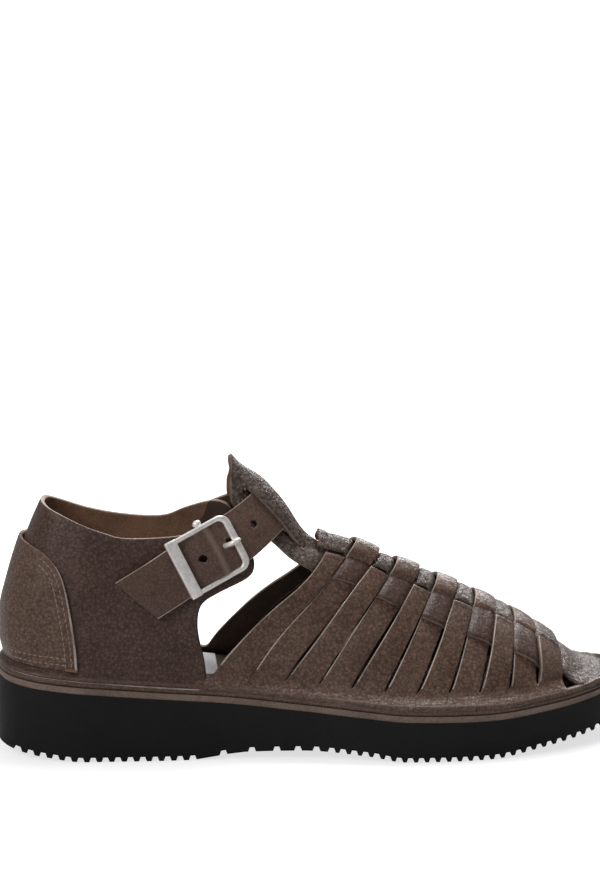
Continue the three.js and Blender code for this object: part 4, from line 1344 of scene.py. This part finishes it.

# %% [markdown]
# ## Painted highlight on the strap
# Where the strap bends over the buckle's pivot, a soft pale line across it is a painted highlight,
# on the lateral side only. It is a mask in the strap's own leather, measured along the strap's run.

# %% Painted highlight on the strap's bend
BEND_AFTER_PIVOT, BEND_REACH, BEND_HIGHLIGHT_STRENGTH, BEND_HIGHLIGHT_TONE = 2.4, 0.0026, 0.42, (0.36, 0.27, 0.225)
bend_place, bend_run, _, _ = strap_frame(FRAME_AT + PIVOT_ALONG + BEND_AFTER_PIVOT)
strap_tree = strap_leather.node_tree
strap_base = strap_tree.nodes["Principled BSDF"].inputs["Base Color"]
here = node(strap_tree, "ShaderNodeTexCoord").outputs["Object"]
walked = operated(strap_tree, "ShaderNodeVectorMath", "DOT_PRODUCT", (here, bend_run))["Value"]
past_bend = maths(strap_tree, "SUBTRACT", walked, bend_place.dot(bend_run) * MM)
away = maths(strap_tree, "ABSOLUTE", past_bend, 0.0)
painted_bend_highlight = mapped(strap_tree, away, 0.0, BEND_REACH, BEND_HIGHLIGHT_STRENGTH, 0.0, "SMOOTHSTEP")
side_of_shoe = node(strap_tree, "ShaderNodeSeparateXYZ", Vector=here).outputs["Y"]
lateral_only = maths(strap_tree, "LESS_THAN", side_of_shoe, 0.0)
# Blend the painted highlight into the strap's colour, on the lateral side only.
strap_tree.links.new(
    blend_colour(strap_tree, times(strap_tree, painted_bend_highlight, lateral_only),
                 strap_base.links[0].from_socket, BEND_HIGHLIGHT_TONE), strap_base)

# %% [markdown]
# ## Sole, midsole, welt and insole
# The black sole is a wedge of foamed rubber with a toothed tread. It is drawn from below: a grid
# in the sole's outline has a pair of lines at each side of every groove, and is then extruded up
# to the top. The midsole is a thin leather plate over it, and the welt a rolled strip round the
# edge. The insole is dished, as a foot presses it, and a pale sock covers its heel.

# %% Plates of the sole
TREAD_FROM, TREAD_TO = -135.9, 138.0
GROOVE_WIDTH, GROOVE_DEPTH, GROOVE_SLOPE = 3.5, 2.0, 0.75
EDGE_CHAMFER, SHORTEST_CELL, PLATE_STATIONS, PLATE_END = 0.9, 0.3, 90, 0.15
TREAD_PITCH = table(
    "x pitch",
    (-140, 5.6), (-63.5, 5.6), (-61, 8.5), (-57.5, 13.9), (-43.6, 12.9), (-30.7, 11.2),
    (-19.5, 9.5), (-10, 8.3), (-1.7, 6.8), (5, 5), (145, 5),
)


def groove_centres():
    centres, x = [], TREAD_FROM
    while x < TREAD_TO:
        centres.append(x)
        x += along(TREAD_PITCH, "x", "pitch", x)
    return centres


GROOVES = groove_centres()


def groove_depth(x):
    nearest = min(abs(x - centre) for centre in GROOVES)
    return GROOVE_DEPTH * clamp((GROOVE_WIDTH / 2 - nearest) / GROOVE_SLOPE)


def smooth_stations(count):
    return [-HALF_LENGTH * math.cos(math.pi * i / count) for i in range(1, count)]


def sole_lines():
    """Lines across the sole: both sides of every groove, and more at the round ends."""
    lines = {round(x, 3) for x in smooth_stations(40) if groove_depth(x) == 0}
    for centre in GROOVES:
        for side in (-1, 1):
            for offset in (GROOVE_WIDTH / 2, GROOVE_WIDTH / 2 - GROOVE_SLOPE):
                lines.add(round(centre + side * offset, 3))
    lines = sorted(x for x in lines if abs(x) < HALF_LENGTH - 0.12)
    kept = [lines[0]]
    for x in lines[1:]:
        if x - kept[-1] > SHORTEST_CELL:
            kept.append(x)
    return kept


def sole_plate(name, inset, bottom, top, lines, material, replaced, chamfer=0.0, rows=10,
               dish=0.0):
    """A plate in the sole's outline, drawn as its underside and extruded to its top.

    A dished plate has both its sides turned up.
    """
    shape = bmesh.new()
    columns = len(lines) - 1
    bmesh.ops.create_grid(shape, x_segments=columns, y_segments=rows, size=0.5)

    def corner(i, j, height, pull):
        angle = station_angle(lines[i])
        lateral, medial = outline(angle, LATERAL, inset), outline(angle, MEDIAL, inset)
        if chamfer:
            pulled = Vector((0, min(pull, (medial.y - lateral.y) / 3)))
            lateral, medial = lateral + pulled, medial - pulled
        x_y = lateral.lerp(medial, clamp((j - 1) / (rows - 2)))
        return Vector((x_y.x, x_y.y, height(x_y.x)))
    turned_up = {}
    for vert in shape.verts:
        i, j = round((vert.co.x + 0.5) * columns), round((vert.co.y + 0.5) * rows)
        edge = j in (0, rows)
        point = corner(i, j, bottom, 0 if edge else chamfer)
        up = dish * abs(2 * clamp((j - 1) / (rows - 2)) - 1) ** 3
        turned_up[round(point.x, 2), round(point.y, 2)] = up
        point.z += up + (chamfer if edge else 0)
        vert.co = point * MM
    result = bmesh.ops.extrude_face_region(shape, geom=shape.faces[:])
    for vert in (item for item in result["geom"] if isinstance(item, bmesh.types.BMVert)):
        x, y = vert.co.x / MM, vert.co.y / MM
        vert.co.z = (top(x) + turned_up.get((round(x, 2), round(y, 2)), 0)) * MM
    bmesh.ops.remove_doubles(shape, verts=shape.verts, dist=1e-6)
    bmesh.ops.recalc_face_normals(shape, faces=shape.faces)
    mesh_data = mesh_from(shape, name, [material], sharp=32)
    print(name, len(mesh_data.polygons), "faces")
    return add_object(name, mesh_data, replaced)


plain_lines = sorted([PLATE_END - HALF_LENGTH, *smooth_stations(PLATE_STATIONS),
                      HALF_LENGTH - PLATE_END])
sole_plate("toothed_sole", 0.0, lambda x: sole_bottom(x) + groove_depth(x), sole_top,
           sole_lines(), rubber, ("outsole",), EDGE_CHAMFER)
MIDSOLE_INSET, MIDSOLE_SINK = 0.4, 0.05
sole_plate("midsole_edge", MIDSOLE_INSET, lambda x: sole_top(x) - MIDSOLE_SINK, midsole_top,
           plain_lines, edge_leather, ("midsole",))

# %% Insole and its sock
INSOLE_INSET, INSOLE_THICKNESS, INSOLE_DISH, INSOLE_ROWS = 8.4, 2.2, 3.6, 14
SOCK_INSET, SOCK_THICKNESS, SOCK_REAR, SOCK_FRONT = 0.7, 0.5, -131, -43.0


def insole_top(x):
    return upper_foot(x) + INSOLE_THICKNESS


# The insole takes the shaded suede too: its dark top is partly painted shade inside the shoe.
sole_plate("insole_board", INSOLE_INSET, midsole_top, insole_top, plain_lines, dark_suede,
           ("insole",), rows=INSOLE_ROWS, dish=INSOLE_DISH)

sock_lines = [*(x for x in smooth_stations(PLATE_STATIONS)
                if SOCK_REAR < x < SOCK_FRONT - 1), SOCK_FRONT]
sole_plate("heel_sock", INSOLE_INSET + SOCK_INSET, insole_top,
           lambda x: insole_top(x) + SOCK_THICKNESS, sock_lines, sock_leather, (),
           rows=INSOLE_ROWS, dish=INSOLE_DISH)

# %% Welt
WELT_SECTION = (
    (WELT_INNER_INSET + 2, -0.06), (2.4, -0.06), (1.2, 0.0), (0.5, 0.14), (0.5, 0.32), (1.0, 0.47),
    (1.15, 0.52), (1.0, 0.58), (0.6, 0.7), (0.7, 0.84), (1.3, 0.96), (2.4, 1.02), (3.6, 0.98),
    (WELT_INNER_INSET + 2, 0.86),
)
AROUND, WELT_LIFT = 240, 0.15  # points round the shoe, and millimetres over the midsole


def round_the_sole(turn, inset):
    """A point of the outline, once round the shoe from the heel by the lateral side."""
    if turn <= math.pi:
        return outline(turn, LATERAL, inset)
    return outline(2 * math.pi - turn, MEDIAL, inset)


def add_welt():
    """The rolled strip, drawn as one grid whose two ends and two sides meet."""
    shape = bmesh.new()
    rows = len(WELT_SECTION)
    bmesh.ops.create_grid(shape, x_segments=AROUND, y_segments=rows, size=0.5)
    for vert in shape.verts:
        turn = (vert.co.x + 0.5) * 2 * math.pi
        inset, rise = WELT_SECTION[round((vert.co.y + 0.5) * rows) % rows]
        place = round_the_sole(turn, inset)
        wave = 0.12 * math.sin(7 * turn) + 0.1 * math.sin(19 * turn + 1)
        z = midsole_top(place.x) + WELT_LIFT + (WELT_HEIGHT + wave) * rise
        vert.co = Vector((place.x, place.y, z)) * MM
    bmesh.ops.remove_doubles(shape, verts=shape.verts, dist=1e-6)
    bmesh.ops.recalc_face_normals(shape, faces=shape.faces)
    soften(add_object("rolled_welt", mesh_from(shape, "rolled_welt", [welt_leather]),
                      ("welt",)))


add_welt()

# %% [markdown]
# ## Buckle
# The frame is cast metal with softly rounded bars, and a flat bar at the rear that is wider than
# the rest. A rounded rectangle starts as a circle whose points are moved, because two such loops
# with equal counts bridge into a clean ring. The bars are then extruded and bevelled. The buckle is
# built flat and then set on the strap's route.

# %% Buckle frame
FRAME_LENGTH, FRAME_WIDTH, FRAME_THICKNESS, FRAME_LIFT = 31.8, 27.9, 2.4, 3.9
KEEPER_BAR, FRONT_BAR, SIDE_BAR = 5.4, 3.3, 2.2
FRONT_CORNER, KEEPER_CORNER, CORNER_STEPS = 5.0, 1.4, 7
HIDDEN = 1.0  # how far the ring runs on inside the keeper plate
PLATE_PROUD, KNOB_RADIUS, KNOB_HEIGHT, ROD_RADIUS, ROD_HEIGHT = 0.7, 2.1, 3.6, 1.1, 2.9


def frame_matrix():
    place, run, across, up = strap_frame(FRAME_AT)
    turn = Matrix((run, across, up)).transposed().to_4x4() @ Matrix.Rotation(FRAME_TILT, 4, "Z")
    return Matrix.Scale(MM, 4) @ Matrix.Translation(place + across * FRAME_SHIFT) @ turn


def rounded_loop(shape, rear, front, half, rear_radius, front_radius, z):
    """A rounded rectangle made from a circle, with one radius at its rear and one in front."""
    count = 4 * CORNER_STEPS
    made = bmesh.ops.create_circle(shape, segments=count, radius=1)["verts"]
    corners = ((front, half, front_radius), (rear, half, rear_radius),
               (rear, -half, rear_radius), (front, -half, front_radius))
    for n, vert in enumerate(sorted(made, key=lambda v: math.atan2(v.co.y, v.co.x) % math.tau)):
        quarter_turn, step = divmod(n, CORNER_STEPS)
        x, y, radius = corners[quarter_turn]
        turn = math.pi / 2 * (quarter_turn + step / (CORNER_STEPS - 1))
        vert.co = Vector((x - math.copysign(radius, x) + radius * math.cos(turn),
                          y - math.copysign(radius, y) + radius * math.sin(turn), z))
    return {edge for vert in made for edge in vert.link_edges}


def metal_piece(name, shape, bevel, replaced=(), segments=3):
    """Round the sharp edges of a shape drawn in the buckle's plane and set it on the strap."""
    bmesh.ops.recalc_face_normals(shape, faces=shape.faces)
    if bevel:
        sharp = [edge for edge in shape.edges if edge.calc_face_angle(0) > 0.7]
        bmesh.ops.bevel(shape, geom=sharp, offset=bevel, segments=segments, profile=0.5,
                        affect="EDGES", material=-1, clamp_overlap=True)
    bmesh.ops.transform(shape, matrix=frame_matrix(), verts=shape.verts)
    bmesh.ops.recalc_face_normals(shape, faces=shape.faces)
    add_object(name, mesh_from(shape, name, [silver], sharp=40), replaced)


ring = bmesh.new()
outer = rounded_loop(ring, HIDDEN - FRAME_LENGTH / 2, FRAME_LENGTH / 2, FRAME_WIDTH / 2,
                     KEEPER_CORNER, FRONT_CORNER, FRAME_LIFT)
inner = rounded_loop(ring, KEEPER_BAR - FRAME_LENGTH / 2 - HIDDEN, FRAME_LENGTH / 2 - FRONT_BAR,
                     FRAME_WIDTH / 2 - SIDE_BAR, KEEPER_CORNER, FRONT_CORNER - SIDE_BAR,
                     FRAME_LIFT)
bmesh.ops.bridge_loops(ring, edges=list(outer | inner))
up_faces = bmesh.ops.extrude_face_region(ring, geom=ring.faces[:])
bmesh.ops.translate(ring, vec=(0, 0, FRAME_THICKNESS),
                    verts=[item for item in up_faces["geom"]
                           if isinstance(item, bmesh.types.BMVert)])
metal_piece("buckle_ring", ring, 0.8, ("buckle_frame",))

plate = bmesh.new()
bmesh.ops.create_cube(plate, size=1)
bmesh.ops.scale(plate, vec=(KEEPER_BAR, FRAME_WIDTH + 0.4, FRAME_THICKNESS + PLATE_PROUD),
                verts=plate.verts)
bmesh.ops.translate(plate, vec=(-FRAME_LENGTH / 2 + KEEPER_BAR / 2, 0,
                                FRAME_LIFT + FRAME_THICKNESS / 2 + 0.1), verts=plate.verts)
metal_piece("buckle_plate", plate, 0.55)

knob = bmesh.new()
bmesh.ops.create_uvsphere(knob, u_segments=20, v_segments=12, radius=KNOB_RADIUS)
bmesh.ops.scale(knob, vec=(1, 0.8, 0.8), verts=knob.verts)
bmesh.ops.translate(knob, vec=(PIVOT_ALONG + 0.4, FRAME_WIDTH / 2 + 1.0, KNOB_HEIGHT),
                    verts=knob.verts)
metal_piece("pivot_knob", knob, 0)

rod = bmesh.new()
bmesh.ops.create_cone(rod, cap_ends=True, segments=20, radius1=ROD_RADIUS, radius2=ROD_RADIUS,
                      depth=27)
bmesh.ops.rotate(rod, cent=(0, 0, 0), matrix=Matrix.Rotation(math.pi / 2, 3, "X"), verts=rod.verts)
bmesh.ops.translate(rod, vec=(PIVOT_ALONG, 0, ROD_HEIGHT), verts=rod.verts)
metal_piece("pivot_rod", rod, 0.3)

# %% Prong
PRONG_ROUTE = side_view((2.6, 2.2), (5, 2), (8, 3.4), (10.2, 6.3), (12.2, 7.8), (14.4, 7.9),
                        (16.2, 7.6))
PRONG_STEPS, PRONG_SIDES, PRONG_RADIUS = 26, 14, 1.15


def prong_shape():
    shape = bmesh.new()
    bmesh.ops.create_grid(shape, x_segments=PRONG_STEPS, y_segments=PRONG_SIDES, size=0.5)
    line = even_line(PRONG_ROUTE, PRONG_STEPS)
    for vert in shape.verts:
        i, turn = round((vert.co.x + 0.5) * PRONG_STEPS), (vert.co.y + 0.5) * math.tau
        run = (line[min(i + 1, PRONG_STEPS)] - line[max(i - 1, 0)]).normalized()
        radius = PRONG_RADIUS * math.sqrt(clamp(1 - (2 * i / PRONG_STEPS - 1) ** 12, 0.02))
        out = radius * math.cos(turn)
        vert.co = Vector((line[i].x - run.y * out, radius * math.sin(turn),
                          line[i].y + run.x * out))
    bmesh.ops.remove_doubles(shape, verts=shape.verts, dist=1e-4)
    bmesh.ops.holes_fill(shape, edges=[edge for edge in shape.edges if edge.is_boundary])
    return shape


metal_piece("prong", prong_shape(), 0, ("buckle_prong",))
